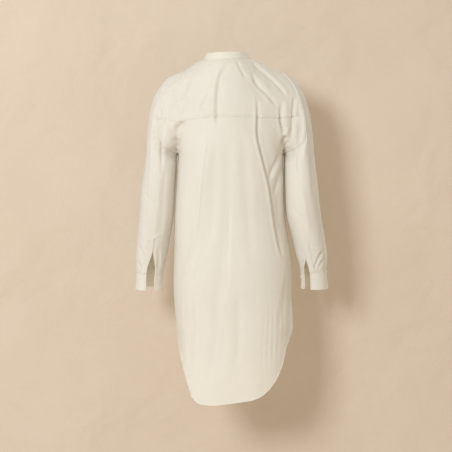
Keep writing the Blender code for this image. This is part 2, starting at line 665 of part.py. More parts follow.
def back_lower_spots():
    """The back below the underarms: down the side seams, then the shirt tail."""
    rows = []
    for v in steps(SIDE_CELLS)[1:]:
        ends = [mix(SIDE_END[RIGHT], SIDE_END[LEFT], (c + 1) / 2) for c in BACK_COLUMNS]
        rows.append([Spot(*body_frame((back_turn(c), mix(UNDERARM_DROP, end, v)), "ring"))
                     for c, end in zip(BACK_COLUMNS, ends)])
    corner = BACK_HEM_SIDES.at(1.0)
    for v in steps(TAIL_CELLS)[1:]:
        rise = BACK_HEM_SIDES.at(v)
        row = []
        for c in BACK_COLUMNS:
            side = LEFT if c >= 0 else RIGHT
            share = abs(back_turn(c)) / 90.0
            rise_turn, corner_turn = ((rise.left_turn, corner.left_turn) if side == LEFT
                                      else (rise.right_turn, corner.right_turn))
            top = mix(SIDE_END[RIGHT], SIDE_END[LEFT], (c + 1) / 2)
            bottom = BACK_HEM_BOTTOM.at(side * share * corner_turn).drop
            straight = mix(SIDE_END[side], sided(corner, side), v)
            drop = mix(top, bottom, v) + (sided(rise, side) - straight) * share
            row.append(Spot(*body_frame((side * share * rise_turn, drop), "ring")))
        rows.append(row)
    return rows


def front_spots(side):
    """One front, columns from its edge past the middle to the armhole and the side seam."""
    cells = FRONT_NECK_CELLS + SHOULDER_CELLS
    lap_angle = neck_lap_angle() - 180.0

    def across(column, near, last):
        """Columns at the edge, the middle and the far line of the lap, then evenly."""
        if column <= 2:
            return near * (column - 1)
        return mix(near, last, (column - 2) / (cells - 2))

    def upper(u):
        column = u * cells
        if column <= FRONT_NECK_CELLS:
            past = (lap_angle * (column - 1) if column <= 2
                    else mix(lap_angle, 90.0, (column - 2) / (FRONT_NECK_CELLS - 2)))
            return neck_place(side * (180.0 - past))
        return shoulder_place(side, (column - FRONT_NECK_CELLS) / SHOULDER_CELLS)

    def ring_turn(column, drop, last=90.0):
        ring = RINGS.at(drop)
        return side * (180.0 - across(column, lap_turn(ring.half, ring.square), last))

    def lower(u):
        x = ring_point(ring_turn(u * cells, UNDERARM_DROP), UNDERARM_DROP).x
        return x, arch_turn(x, UNDERARM_DROP, -1)

    def edge(v):
        return mix(np.array(upper(0)), np.array(lower(0)), v)
    rows = []

    def place_at(u, v):
        return coons(upper, lower, edge, lambda way: front_armhole_place(side, way), u, v)
    for v in armhole_ways("front")[:-1]:
        lap = [0.0, 1 / cells]
        rest = evened([c / cells for c in range(2, cells + 1)], lambda u: place_at(u, v),
                      lambda u: ring_point(ring_turn(u * cells, UNDERARM_DROP), UNDERARM_DROP), v)
        rows.append([Spot(*body_frame(place_at(u, v), "arch")) for u in lap + rest])
    middle_end = (SIDE_END[LEFT] + SIDE_END[RIGHT]) / 2
    for v in steps(SIDE_CELLS):
        row = []
        for c in range(cells + 1):
            drop = mix(UNDERARM_DROP, mix(middle_end, SIDE_END[side], c / cells), v)
            row.append(Spot(*body_frame((ring_turn(c, drop), drop), "ring")))
        rows.append(row)
    corner = FRONT_HEM_SIDES.at(1.0)
    for v in steps(TAIL_CELLS)[1:]:
        rise = FRONT_HEM_SIDES.at(v)
        side_turn = rise.left_turn if side == LEFT else rise.right_turn
        row = []
        for c in range(cells + 1):
            top = mix(middle_end, SIDE_END[side], c / cells)
            bottom = mix(FRONT_HEM_BOTTOM, sided(corner, side), (c / cells) ** FRONT_HEM_RISES)
            straight = mix(SIDE_END[side], sided(corner, side), v)
            drop = mix(top, bottom, v) + (sided(rise, side) - straight) * c / cells
            row.append(Spot(*body_frame((ring_turn(c, drop, side_turn), drop), "ring")))
        rows.append(row)
    return rows


def lapped(spots):
    """The middle edge of the under front sinks below the upper one."""
    rows = []
    for row in spots:
        middle = row[1].point.x
        rows.append([Spot(spot.point - spot.normal * LAP_DEPTH * smooth(
            (LAP + 0.004 + LAP_RAMP - (spot.point.x - middle)) / LAP_RAMP), spot.normal)
            for spot in row])
    return rows


def collar_spots():
    """The band on the neckline, from its end on the right front round the back to the left one."""
    past = [neck_lap_angle(), 180.0, 360.0 - neck_lap_angle()]
    past += [mix(past[-1], 90.0, k / (FRONT_NECK_CELLS - 2)) for k in range(1, FRONT_NECK_CELLS - 1)]
    back = [90.0 * k / NECK_CELLS for k in range(NECK_CELLS - 1, -NECK_CELLS, -1)]
    angles = [-angle for angle in past] + [-angle for angle in back] + past[::-1]
    rows = [[], [], []]
    for angle in angles:
        point, normal = body_frame(neck_place(angle), "arch")
        base = folded(point, normal)
        out = Vector((math.sin(math.radians(angle)), math.cos(math.radians(angle)), 0))
        lean = mix(COLLAR_BACK_LEAN, COLLAR_LEAN, smooth((abs(angle) - 15.0) / 75.0))
        up = (Vector((0, 0, 1)) - out * lean).normalized()
        face = (out - up * out.dot(up)).normalized()
        sunk = LAP_DEPTH * smooth((angle - 150.0) / 18.0)
        for k, row in enumerate(rows):
            row.append(Spot(base + up * (SEAM_GAP + COLLAR_HEIGHT * k / 2) - face * sunk, face))
    return rows[::-1]


# ---------------------------------------------------------------- sleeves and cuffs
CORNER_TURN, CREST_TURN = 50.0, -12.0     # where the yoke's corners lead on the first arm ring


def armhole_loop(side):
    """Places and arm turns round an armhole: underarm, back, yoke, front. Arm turn 0 faces out,
    90 back, 180 the body."""
    places = [("ring", (side * 90.0, UNDERARM_DROP))]
    for way in armhole_ways("back")[-2::-1]:
        x, drop = back_armhole_place(side, way)
        places.append(("arch", (x, arch_turn(x, drop, 1))))
    for way in steps(ARMHOLE_CELLS["yoke"])[1:]:
        places.append(("arch", yoke_armhole_place(side, 1 - way)))
    for way in armhole_ways("front")[1:-1]:
        places.append(("arch", front_armhole_place(side, way)))
    spots = [Spot(*body_frame(place, kind)) for kind, place in places]
    lengths = [(b.point - a.point).length for a, b in zip(spots, spots[1:] + spots[:1])]
    stops = [0, ARMHOLE_CELLS["back"], ARMHOLE_CELLS["back"] + ARMHOLE_CELLS["yoke"], len(spots)]
    ends = [180.0, CORNER_TURN, CREST_TURN, -180.0]
    turns = []
    for part in range(3):
        run = lengths[stops[part]:stops[part + 1]]
        walked = 0.0
        for length in run:
            turns.append(mix(ends[part], ends[part + 1], walked / sum(run)))
            walked += length
    return spots, turns


def arm_point(side, turn, drop):
    """On a ring round an arm. The rings lean with the forearm, so their fronts lie higher."""
    arm = ARMS[side].at(drop)
    sine, cosine = math.sin(math.radians(turn)), math.cos(math.radians(turn))
    x = (arm.outer + arm.inner) / 2 + (arm.outer - arm.inner) / 2 * math.copysign(
        abs(cosine) ** (2 / ARM_SQUARE), cosine)
    reach = arm.depth * math.copysign(abs(sine) ** (2 / ARM_SQUARE), sine)
    return Vector((side * x, arm.middle_y + reach, -drop - arm.lean * reach))


def sleeve_grid(side):
    """Spots of a sleeve and its cuff, rows from the armhole to the end of the cuff, columns from
    the outer edge of the slit round the arm to its inner edge."""
    loop, loop_turns = armhole_loop(side)
    count = len(loop)
    slit = SLITS[side]
    first = min(range(count), key=lambda j: abs(loop_turns[j] - slit.facing))
    order = [(first + k) % count for k in range(count + 1)]
    wraps = [360.0 if first + k >= count else 0.0 for k in range(count + 1)]
    starts = [loop_turns[j] - wrap for j, wrap in zip(order, wraps)]

    def arm_turns(drop):
        share = smooth((drop - SLEEVE_START) / (slit.placket_top - SLEEVE_START))
        opened = smooth((drop - slit.top) / (CUFF_TOP[side] - slit.top))
        gap = slit.half_gap * opened
        facing = mix(slit.facing, slit.cuff_facing, opened)
        rest = (360.0 - 2 * gap - PLACKET_TURN) / (count - 1)
        even = [facing - gap] + [facing - gap - PLACKET_TURN - rest * k for k in range(count)]
        return [mix(a, b, share) for a, b in zip(starts, even)]
    points = []
    for s in steps(SLEEVE_CELLS["cap"]):
        row = []
        for j, turn in zip(order, starts):
            start, normal = loop[j]
            end = arm_point(side, turn, SLEEVE_START)
            reach = (end - start).length
            low = smooth((-start.z - CAP_TURNS) / (UNDERARM_DROP - CAP_TURNS))
            leaves = CAP_LEAVES[side].at(-start.z)
            down_arm = Vector((side, 0, -leaves.slope)).lerp(Vector((side * PIT_LEAN, 0, -1)), low)
            away = (down_arm - normal * normal.dot(down_arm) * (1 - low) * leaves.follow).normalized()
            below = arm_point(side, turn, SLEEVE_START + STEP_DROP) - end
            leave, arrive = away * reach * leaves.pull, below.normalized() * reach * CAP_PULL
            row.append(start * (2 * s ** 3 - 3 * s ** 2 + 1) + end * (3 * s ** 2 - 2 * s ** 3)
                       + leave * (s ** 3 - 2 * s ** 2 + s) + arrive * (s ** 3 - s ** 2))
        points.append(row)
    drops = [mix(SLEEVE_START, slit.placket_top, t) for t in steps(SLEEVE_CELLS["arm"] - 1)[1:]]
    drops += [mix(slit.top, CUFF_TOP[side], t) for t in steps(SLEEVE_CELLS["slit"])]
    drops += [CUFF_TOP[side] + CUFF_HEIGHT * t for t in steps(3)[1:]]
    for drop in drops:
        points.append([arm_point(side, turn, drop) for turn in arm_turns(drop)])
    rows = []
    for r, row in enumerate(points):
        line = []
        for c, point in enumerate(row):
            if r == 0:
                line.append(Spot(point, loop[order[c]].normal))
                continue
            below, above = points[min(r + 1, len(points) - 1)], points[r - 1]
            along = below[c] - above[c]
            before = row[c - 1] if c else row[-2]
            after = row[c + 1] if c < count else row[1]
            normal = (after - before).cross(along).normalized()
            arm = ARMS[side].at(-point.z)
            middle = Vector((side * (arm.outer + arm.inner) / 2, arm.middle_y, point.z))
            if normal.dot(point - middle) < 0:
                normal.negate()
            line.append(Spot(point, normal))
        rows.append(line)
    return rows


def sleeve_seams(side, grid):
    """The sleeve, its placket and its cuff, taken from one grid."""
    cuff_row = len(grid) - 4
    slit_row = cuff_row - SLEEVE_CELLS["slit"]
    name = SIDE_NAMES[side]
    sleeve = trimmed(grid[:cuff_row + 1], ("first_row", "last_row"))
    sleeve[0] = [Spot(spot.point.lerp(below.point, smooth((-spot.point.z - EASE_TOP) / EASE_HEIGHT) * EASE),
                      spot.normal) for spot, below in zip(sleeve[0], sleeve[1])]
    wall("sleeve_" + name, sleeve, CLOTH, cotton, tube_rows=slit_row)
    cuff = trimmed(moved(grid[cuff_row:], CUFF_LIP), ("first_row",))
    wall("cuff_" + name, cuff, BAND, cotton)
    strip = [row[:2] for row in grid[slit_row - 1:cuff_row + 1]]
    strip = trimmed(moved(strip, LIFT + CLOTH), ("last_row",), 4 * SEAM_GAP)
    wall("sleeve_placket_" + name, strip, CLOTH, cotton)


# ---------------------------------------------------------------- buttons
def button(name, spot, lift):
    """A round button lying on a face."""
    bpy.ops.mesh.primitive_cylinder_add(vertices=BUTTON_SIDES, radius=BUTTON_RADIUS, depth=BUTTON_THICK)
    piece = bpy.context.active_object
    piece.name = piece.data.name = name
    for collection in piece.users_collection:
        collection.objects.unlink(piece)
    garment.objects.link(piece)
    piece.matrix_world = (Matrix.Translation(spot.point + spot.normal * (lift + BUTTON_THICK / 2))
                          @ spot.normal.to_track_quat("Z", "Y").to_matrix().to_4x4())
    piece.data.materials.append(shell)
    bevel = piece.modifiers.new("edge", "BEVEL")
    bevel.width = 0.0005
    bevel.segments = 1
    bevel.limit_method = "ANGLE"
    return piece


def plain_material(name, colour, roughness):
    material = bpy.data.materials.new(name)
    material.use_nodes = True
    shader = material.node_tree.nodes["Principled BSDF"]
    shader.inputs["Base Color"].default_value = (*colour, 1.0)
    shader.inputs["Roughness"].default_value = roughness
    shader.inputs["Metallic"].default_value = 0.0
    return material


# ---------------------------------------------------------------- the garment
for leftover in list(bpy.data.objects):
    bpy.data.objects.remove(leftover)
garment = bpy.data.collections.new("shirt_dress")
bpy.context.scene.collection.children.link(garment)
cotton = plain_material("cotton", COTTON, 0.85)
shell = plain_material("button_shell", SHELL, 0.35)

skin = [spread(spots) for spots in (
    back_upper_spots() + back_lower_spots(), yoke_spots(), front_spots(LEFT), front_spots(RIGHT),
    sleeve_grid(LEFT), sleeve_grid(RIGHT))]
skin = welded(skin, sleeves=skin[-2:])
back, yoke, front_left, front_right, sleeve_left, sleeve_right = skin
seamed = ("first_row", "first_column", "last_column")
wall("back", trimmed(back, seamed), CLOTH, cotton)
wall("yoke", trimmed(yoke, seamed + ("last_row",)), CLOTH, cotton)
for name, spots in (("front_left", lapped(front_left)), ("front_right", front_right)):
    wall(name, trimmed(spots, ("first_row", "last_column")), CLOTH, cotton)
placket = moved([row[:3] for row in front_right], LIFT + CLOTH)
wall("front_placket", trimmed(placket, ("first_row",), 4 * SEAM_GAP), CLOTH, cotton)
collar = collar_spots()
wall("collar_band", collar, BAND, cotton)
for side, spots in ((LEFT, sleeve_left), (RIGHT, sleeve_right)):
    sleeve_seams(side, spots)
    flap = spots[-3][-3]
    button("button_cuff_" + SIDE_NAMES[side], flap, CUFF_LIP + LIFT)

middle_line = [row[1] for row in placket]
for k in range(FRONT_BUTTONS):
    drop = FIRST_BUTTON + BUTTON_SPACING * k
    above = max(i for i, spot in enumerate(middle_line) if -spot.point.z <= drop)
    a, b = middle_line[above], middle_line[above + 1]
    share = (drop + a.point.z) / (a.point.z - b.point.z)
    button("button_front_%d" % (k + 1),
           Spot(a.point.lerp(b.point, share), a.normal.lerp(b.normal, share).normalized()), LIFT)
collar_end = collar[1][1]
button("button_collar", collar_end, LIFT)
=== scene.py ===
"""Looks of a shirt dress of light cotton, seen from behind, filled out as worn with nobody in it.

Metres, +Z up, the front faces -Y and +X is the wearer's left. Every panel is a fine sheet laid on the
same form as its solid: arches over the shoulders, rings round the body and rings round each arm.
"""
import math
from collections import namedtuple

import bmesh
import bpy
import numpy as np
from mathutils import Matrix, Vector, noise


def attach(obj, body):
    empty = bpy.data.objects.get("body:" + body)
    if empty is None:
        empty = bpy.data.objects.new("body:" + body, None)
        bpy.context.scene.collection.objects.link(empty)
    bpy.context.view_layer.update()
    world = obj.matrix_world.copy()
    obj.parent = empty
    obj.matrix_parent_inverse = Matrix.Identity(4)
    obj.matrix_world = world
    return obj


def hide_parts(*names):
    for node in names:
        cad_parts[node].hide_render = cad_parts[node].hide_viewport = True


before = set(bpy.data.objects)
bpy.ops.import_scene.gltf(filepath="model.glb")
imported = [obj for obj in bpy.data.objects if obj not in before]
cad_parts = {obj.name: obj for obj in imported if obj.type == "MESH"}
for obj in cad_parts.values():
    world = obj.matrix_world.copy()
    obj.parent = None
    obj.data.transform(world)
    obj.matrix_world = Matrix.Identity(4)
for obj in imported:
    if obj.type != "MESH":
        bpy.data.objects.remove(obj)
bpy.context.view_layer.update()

# ---------------------------------------------------------------- room, light and camera
# A warm canvas hangs behind the dress over a plain floor. A large soft light stands behind, on the
# wearer's left, a wider one in front on the right, and the rest comes from a warm room.
BACKDROP_Y = -0.21
BACKDROP_TONES = ((0.66, 0.546, 0.436), (0.752, 0.635, 0.518))
CANVAS_BUMP = 0.55        # how strongly its creases and its threads show
FLOOR_Z = -1.55
FLOOR_COLOUR = (0.74, 0.66, 0.56)
CAMERA_PLACE = (0.0129, 4.0, -0.48)
CAMERA_ANGLE = 18.39      # degrees across the picture
ROOM_COLOUR = (1.0, 0.915, 0.79)
ROOM_STRENGTH = 0.61
Lamp = namedtuple("Lamp", "name place size power colour")
LAMPS = (Lamp("key", (2.0, 3.9, 0.9), 1.25, 111.0, (0.88, 0.94, 1.0)),
         Lamp("front", (-2.6, -3.4, 1.4), 1.8, 60.0, (0.95, 0.98, 1.0)))
LAMPS_FACE = (0, 0, -0.45)


def plain(name, colour, roughness):
    material = bpy.data.materials.new(name)
    material.use_nodes = True
    shader = material.node_tree.nodes["Principled BSDF"]
    shader.inputs["Base Color"].default_value = (*colour, 1.0)
    shader.inputs["Roughness"].default_value = roughness
    return material


def added(nodes, kind, values=(), **settings):
    """A new shader node with its settings and the values of its inputs."""
    node = nodes.new("ShaderNode" + kind)
    for setting, value in settings.items():
        setattr(node, setting, value)
    for socket, value in dict(values).items():
        node.inputs[socket].default_value = value
    return node


def two_tones(nodes, first, second):
    """A mix of two colours by its Factor."""
    return added(nodes, "Mix", {"A": (*first, 1), "B": (*second, 1)}, data_type="RGBA")


bpy.ops.object.select_all(action="DESELECT")
bpy.ops.mesh.primitive_plane_add(size=14.0, location=(0, 0, FLOOR_Z))
floor = bpy.context.active_object
floor.name = "floor"
floor.data.materials.append(plain("floor_paint", FLOOR_COLOUR, 0.9))
bpy.ops.mesh.primitive_plane_add(size=6.0, location=(0, BACKDROP_Y, 0), rotation=(-math.pi / 2, 0, 0))
backdrop = bpy.context.active_object
backdrop.name = "backdrop"
canvas = plain("backdrop_canvas", BACKDROP_TONES[0], 0.95)
nodes, links = canvas.node_tree.nodes, canvas.node_tree.links
shader = nodes["Principled BSDF"]
place = added(nodes, "TexCoord")
cloud = added(nodes, "TexNoise", {"Scale": 2.2, "Detail": 5.0})
tone = two_tones(nodes, *BACKDROP_TONES)
links.new(place.outputs["Object"], cloud.inputs["Vector"])
links.new(cloud.outputs["Fac"], tone.inputs["Factor"])
links.new(tone.outputs["Result"], shader.inputs["Base Color"])
creases = added(nodes, "TexNoise", {"Scale": 3.4, "Detail": 3.0, "Distortion": 0.4})
canvas_threads = added(nodes, "TexNoise", {"Scale": 130.0})
soft_bump = added(nodes, "Bump", {"Strength": CANVAS_BUMP, "Distance": 0.05})
fine_bump = added(nodes, "Bump", {"Strength": CANVAS_BUMP, "Distance": 0.0012})
for texture, bump in ((creases, soft_bump), (canvas_threads, fine_bump)):
    links.new(place.outputs["Object"], texture.inputs["Vector"])
    links.new(texture.outputs["Fac"], bump.inputs["Height"])
links.new(soft_bump.outputs["Normal"], fine_bump.inputs["Normal"])
links.new(fine_bump.outputs["Normal"], shader.inputs["Normal"])

# The canvas shows to the camera alone, and only from its face, so light and other views pass it.
not_camera = added(nodes, "Math", {0: 1.0}, operation="SUBTRACT")
unseen = added(nodes, "Math", operation="MAXIMUM")
shown = added(nodes, "MixShader")
links.new(added(nodes, "LightPath").outputs["Is Camera Ray"], not_camera.inputs[1])
links.new(added(nodes, "NewGeometry").outputs["Backfacing"], unseen.inputs[0])
links.new(not_camera.outputs[0], unseen.inputs[1])
links.new(unseen.outputs[0], shown.inputs["Fac"])
links.new(shader.outputs["BSDF"], shown.inputs[1])
links.new(added(nodes, "BsdfTransparent").outputs["BSDF"], shown.inputs[2])
links.new(shown.outputs["Shader"], nodes["Material Output"].inputs["Surface"])
backdrop.data.materials.append(canvas)

for lamp in LAMPS:
    light = bpy.data.lights.new(lamp.name, "AREA")
    light.energy, light.size, light.color = lamp.power, lamp.size, lamp.colour
    holder = bpy.data.objects.new(lamp.name, light)
    holder.location = lamp.place
    holder.rotation_euler = (Vector(LAMPS_FACE) - holder.location).to_track_quat("-Z", "Y").to_euler()
    bpy.context.scene.collection.objects.link(holder)
room = bpy.data.worlds.new("room")
room.use_nodes = True
room.node_tree.nodes["Background"].inputs["Color"].default_value = (*ROOM_COLOUR, 1)
room.node_tree.nodes["Background"].inputs["Strength"].default_value = ROOM_STRENGTH
bpy.context.scene.world = room
camera = bpy.data.objects.new("camera", bpy.data.cameras.new("camera"))
camera.data.angle = math.radians(CAMERA_ANGLE)
camera.location = CAMERA_PLACE
camera.rotation_euler = (math.pi / 2, 0, math.pi)
bpy.context.scene.collection.objects.link(camera)
bpy.context.scene.camera = camera
bpy.context.scene.view_settings.view_transform = "Standard"

# ---------------------------------------------------------------- the back
# Light cotton poplin, one panel from the yoke seam to the curved shirt tail. It hangs from the yoke
# in long soft folds; its sides are felled to the fronts and its hem is rolled twice and stitched.
CLOTH = 0.0008            # one layer as it shows at an edge
CELL = 0.0031             # a cell of the sheets
UNDERARM_HALF, UNDERARM_DROP = 0.150, 0.272           # half the body's width there, and the drop
NECK_CELLS, SHOULDER_CELLS = 8, 8         # on each side, below the neck and below the shoulder
BELOW_NECK, YOKE_MIDDLE = 0.5, 0.105      # share of the columns, and where it ends on the yoke seam
ARMHOLE_CELLS = {"back": 8, "yoke": 7, "front": 9}
SIDE_CELLS, TAIL_CELLS = 11, 6
UNDERARM_CROWDING = 0.2   # rows lie closer together toward the underarms
SIDE_CROWDING = 1.4       # and the back's columns toward its sides
STEP_X, STEP_TURN, STEP_DROP = 0.002, 0.5, 0.004      # small steps that give the normals
ROW_SAMPLES = 81          # places at which a row is walked when its columns are evened
EDGE_REACH = 4            # what a side line bends fades away from it with this power
LEFT, RIGHT = 1, -1


def eased(t):
    """Ease from 0 to 1."""
    return t * t * (3 - 2 * t)


def bridge(start, end, leaving, coming, t):
    """On a smooth curve from start to end that leaves and comes in with these slopes."""
    ease = eased(t)
    return start * (1 - ease) + end * ease + leaving * t * (1 - t) ** 2 - coming * t * t * (1 - t)


class Table:
    """Rows of named columns, read at any value of the first column on a smooth curve."""

    def __init__(self, columns, *rows, level_start=False):
        self.row = namedtuple("Row", columns)
        self.values = np.array(rows, dtype=float)
        self.keys = self.values[:, 0]
        self.slopes = np.gradient(self.values, self.keys, axis=0)
        if level_start:
            self.slopes[0, 1:] = 0.0

    def at(self, key):
        key = min(max(key, self.keys[0]), self.keys[-1])
        low = min(int(np.searchsorted(self.keys, key, side="right")) - 1, len(self.keys) - 2)
        span = self.keys[low + 1] - self.keys[low]
        t = (key - self.keys[low]) / span
        return self.row(*bridge(self.values[low], self.values[low + 1],
                                self.slopes[low] * span, self.slopes[low + 1] * span, t))


# Rings round the body, from the underarms down.
RINGS = Table("drop middle half back side front square",
              (0.272, 0.000, 0.1500, 0.112, -0.008, -0.130, 2.4),
              (0.340, 0.001, 0.1530, 0.110, -0.008, -0.128, 2.4),
              (0.463, 0.002, 0.1585, 0.109, -0.006, -0.122, 2.3),
              (0.546, -0.004, 0.1635, 0.115, -0.004, -0.119, 2.3),
              (0.612, -0.006, 0.1675, 0.121, -0.002, -0.119, 2.3),
              (0.675, -0.006, 0.1670, 0.123, 0.000, -0.118, 2.3),
              (0.749, -0.011, 0.1660, 0.123, 0.000, -0.116, 2.3),
              (0.800, -0.013, 0.1635, 0.122, 0.000, -0.114, 2.3),
              (0.900, -0.013, 0.1600, 0.119, 0.000, -0.110, 2.3),
              (1.000, -0.013, 0.1580, 0.116, 0.000, -0.107, 2.3))

# Arches over the shoulders, front to back, at each distance from the middle. Inside the neck
# opening they are only lines that the neckline is cut from.
BACK_ARCHES = Table("x crest_y crest_drop wall fall",
                    (0.000, 0.045, 0.0000, 0.112, 0.184),
                    (0.035, 0.036, 0.0005, 0.109, 0.1765),
                    (0.068, 0.006, 0.001, 0.101, 0.170),
                    (0.100, 0.002, 0.0165, 0.091, 0.160),
                    (0.130, 0.000, 0.0345, 0.078, 0.150),
                    (0.160, -0.002, 0.0480, 0.066, 0.135),
                    (0.190, -0.004, 0.0700, 0.058, 0.115),
                    (0.220, -0.006, 0.1150, 0.050, 0.085),
                    (0.240, -0.008, 0.1700, 0.044, 0.060), level_start=True)
FRONT_ARCHES = Table("x crest_y crest_drop wall fall",
                     (0.000, 0.020, 0.000, -0.130, 0.270),
                     (0.035, 0.016, 0.000, -0.131, 0.265),
                     (0.068, 0.006, 0.001, -0.127, 0.255),
                     (0.100, 0.002, 0.0165, -0.116, 0.240),
                     (0.130, 0.000, 0.0345, -0.098, 0.220),
                     (0.160, -0.002, 0.0480, -0.080, 0.200),
                     (0.190, -0.004, 0.0700, -0.066, 0.160),
                     (0.220, -0.006, 0.1150, -0.054, 0.110), level_start=True)
ARCH_SIDE = 0.007         # near the neck the arches' own middle lies this far to the left
ARCH_SIDE_ENDS = (0.07, 0.15)             # it fades between these distances
BACK_BOW = 1.1            # how full an arch is behind and before its crest: 1 is an ellipse
FRONT_BOW = 1.25

# The crease into each armpit, where the torso parts from the arm.
PIT_TOP, PIT_TOP_HALF = 0.158, 0.138      # the drop where it starts, and how far off the middle
PIT_WIDTH = 0.055         # how far it reaches on the arm's side
PIT_DEEPENS = 3.5         # the crease deepens late: the power of the way down it
PIT_NARROWS = 6           # and the more so the nearer to it: a power of the way across
PIT_FADES = 1.3           # beyond it, on the arm's side, it fades with this power

# Seam lines. A way runs from 0 to 1 along the seam. Turns go round the shoulder from its crest.
YOKE_SEAM = Table("x drop",
                  (-0.2072, 0.165), (-0.150, 0.174), (-0.087, 0.176), (0.000, 0.1755),
                  (0.087, 0.177), (0.135, 0.184), (0.2112, 0.179))
YOKE_ARMHOLE = Table("way left left_turn right right_turn",
                     (0.00, 0.1310, -14.0, 0.1560, -14.0),
                     (0.10, 0.1280, 0.0, 0.1533, 0.0),
                     (0.20, 0.1310, 12.0, 0.1570, 8.0),
                     (0.32, 0.1430, 25.0, 0.1660, 17.0),
                     (0.48, 0.1640, 36.0, 0.1810, 28.0),
                     (0.64, 0.1900, 41.0, 0.1920, 40.0),
                     (0.80, 0.2080, 48.0, 0.1995, 53.0),
                     (0.90, 0.2130, 61.0, 0.2042, 64.0),
                     (1.00, 0.2112, 80.0, 0.2072, 77.0))
BACK_ARMHOLE = Table("way left right drop",
                     (0.00, 0.2112, 0.2072, 0.172),
                     (0.22, 0.2160, 0.2120, 0.198),
                     (0.45, 0.2140, 0.2110, 0.225),
                     (0.65, 0.2040, 0.2020, 0.246),
                     (0.80, 0.1880, 0.1870, 0.2595),
                     (0.90, 0.1700, 0.1700, 0.2670),
                     (1.00, 0.1500, 0.1500, 0.2720))
SIDE_END = {LEFT: 0.798, RIGHT: 0.769}

# The hem: its rising sides, from the end of each side seam, then its bottom. Turns go round the
# body from the middle of the panel.
BACK_HEM_SIDES = Table("way left_turn left right_turn right",
                       (0.00, 90.0, 0.798, 90.0, 0.769),
                       (0.25, 74.0, 0.842, 63.0, 0.808),
                       (0.50, 62.5, 0.882, 54.5, 0.862),
                       (0.75, 54.5, 0.922, 45.0, 0.903),
                       (1.00, 48.0, 0.958, 34.0, 0.936))
BACK_HEM_BOTTOM = Table("turn drop",
                        (-34.0, 0.936), (-23.6, 0.956), (-14.0, 0.966), (-5.0, 0.9705),
                        (4.0, 0.975), (15.0, 0.9795), (27.0, 0.9802), (39.0, 0.9750), (48.0, 0.958))

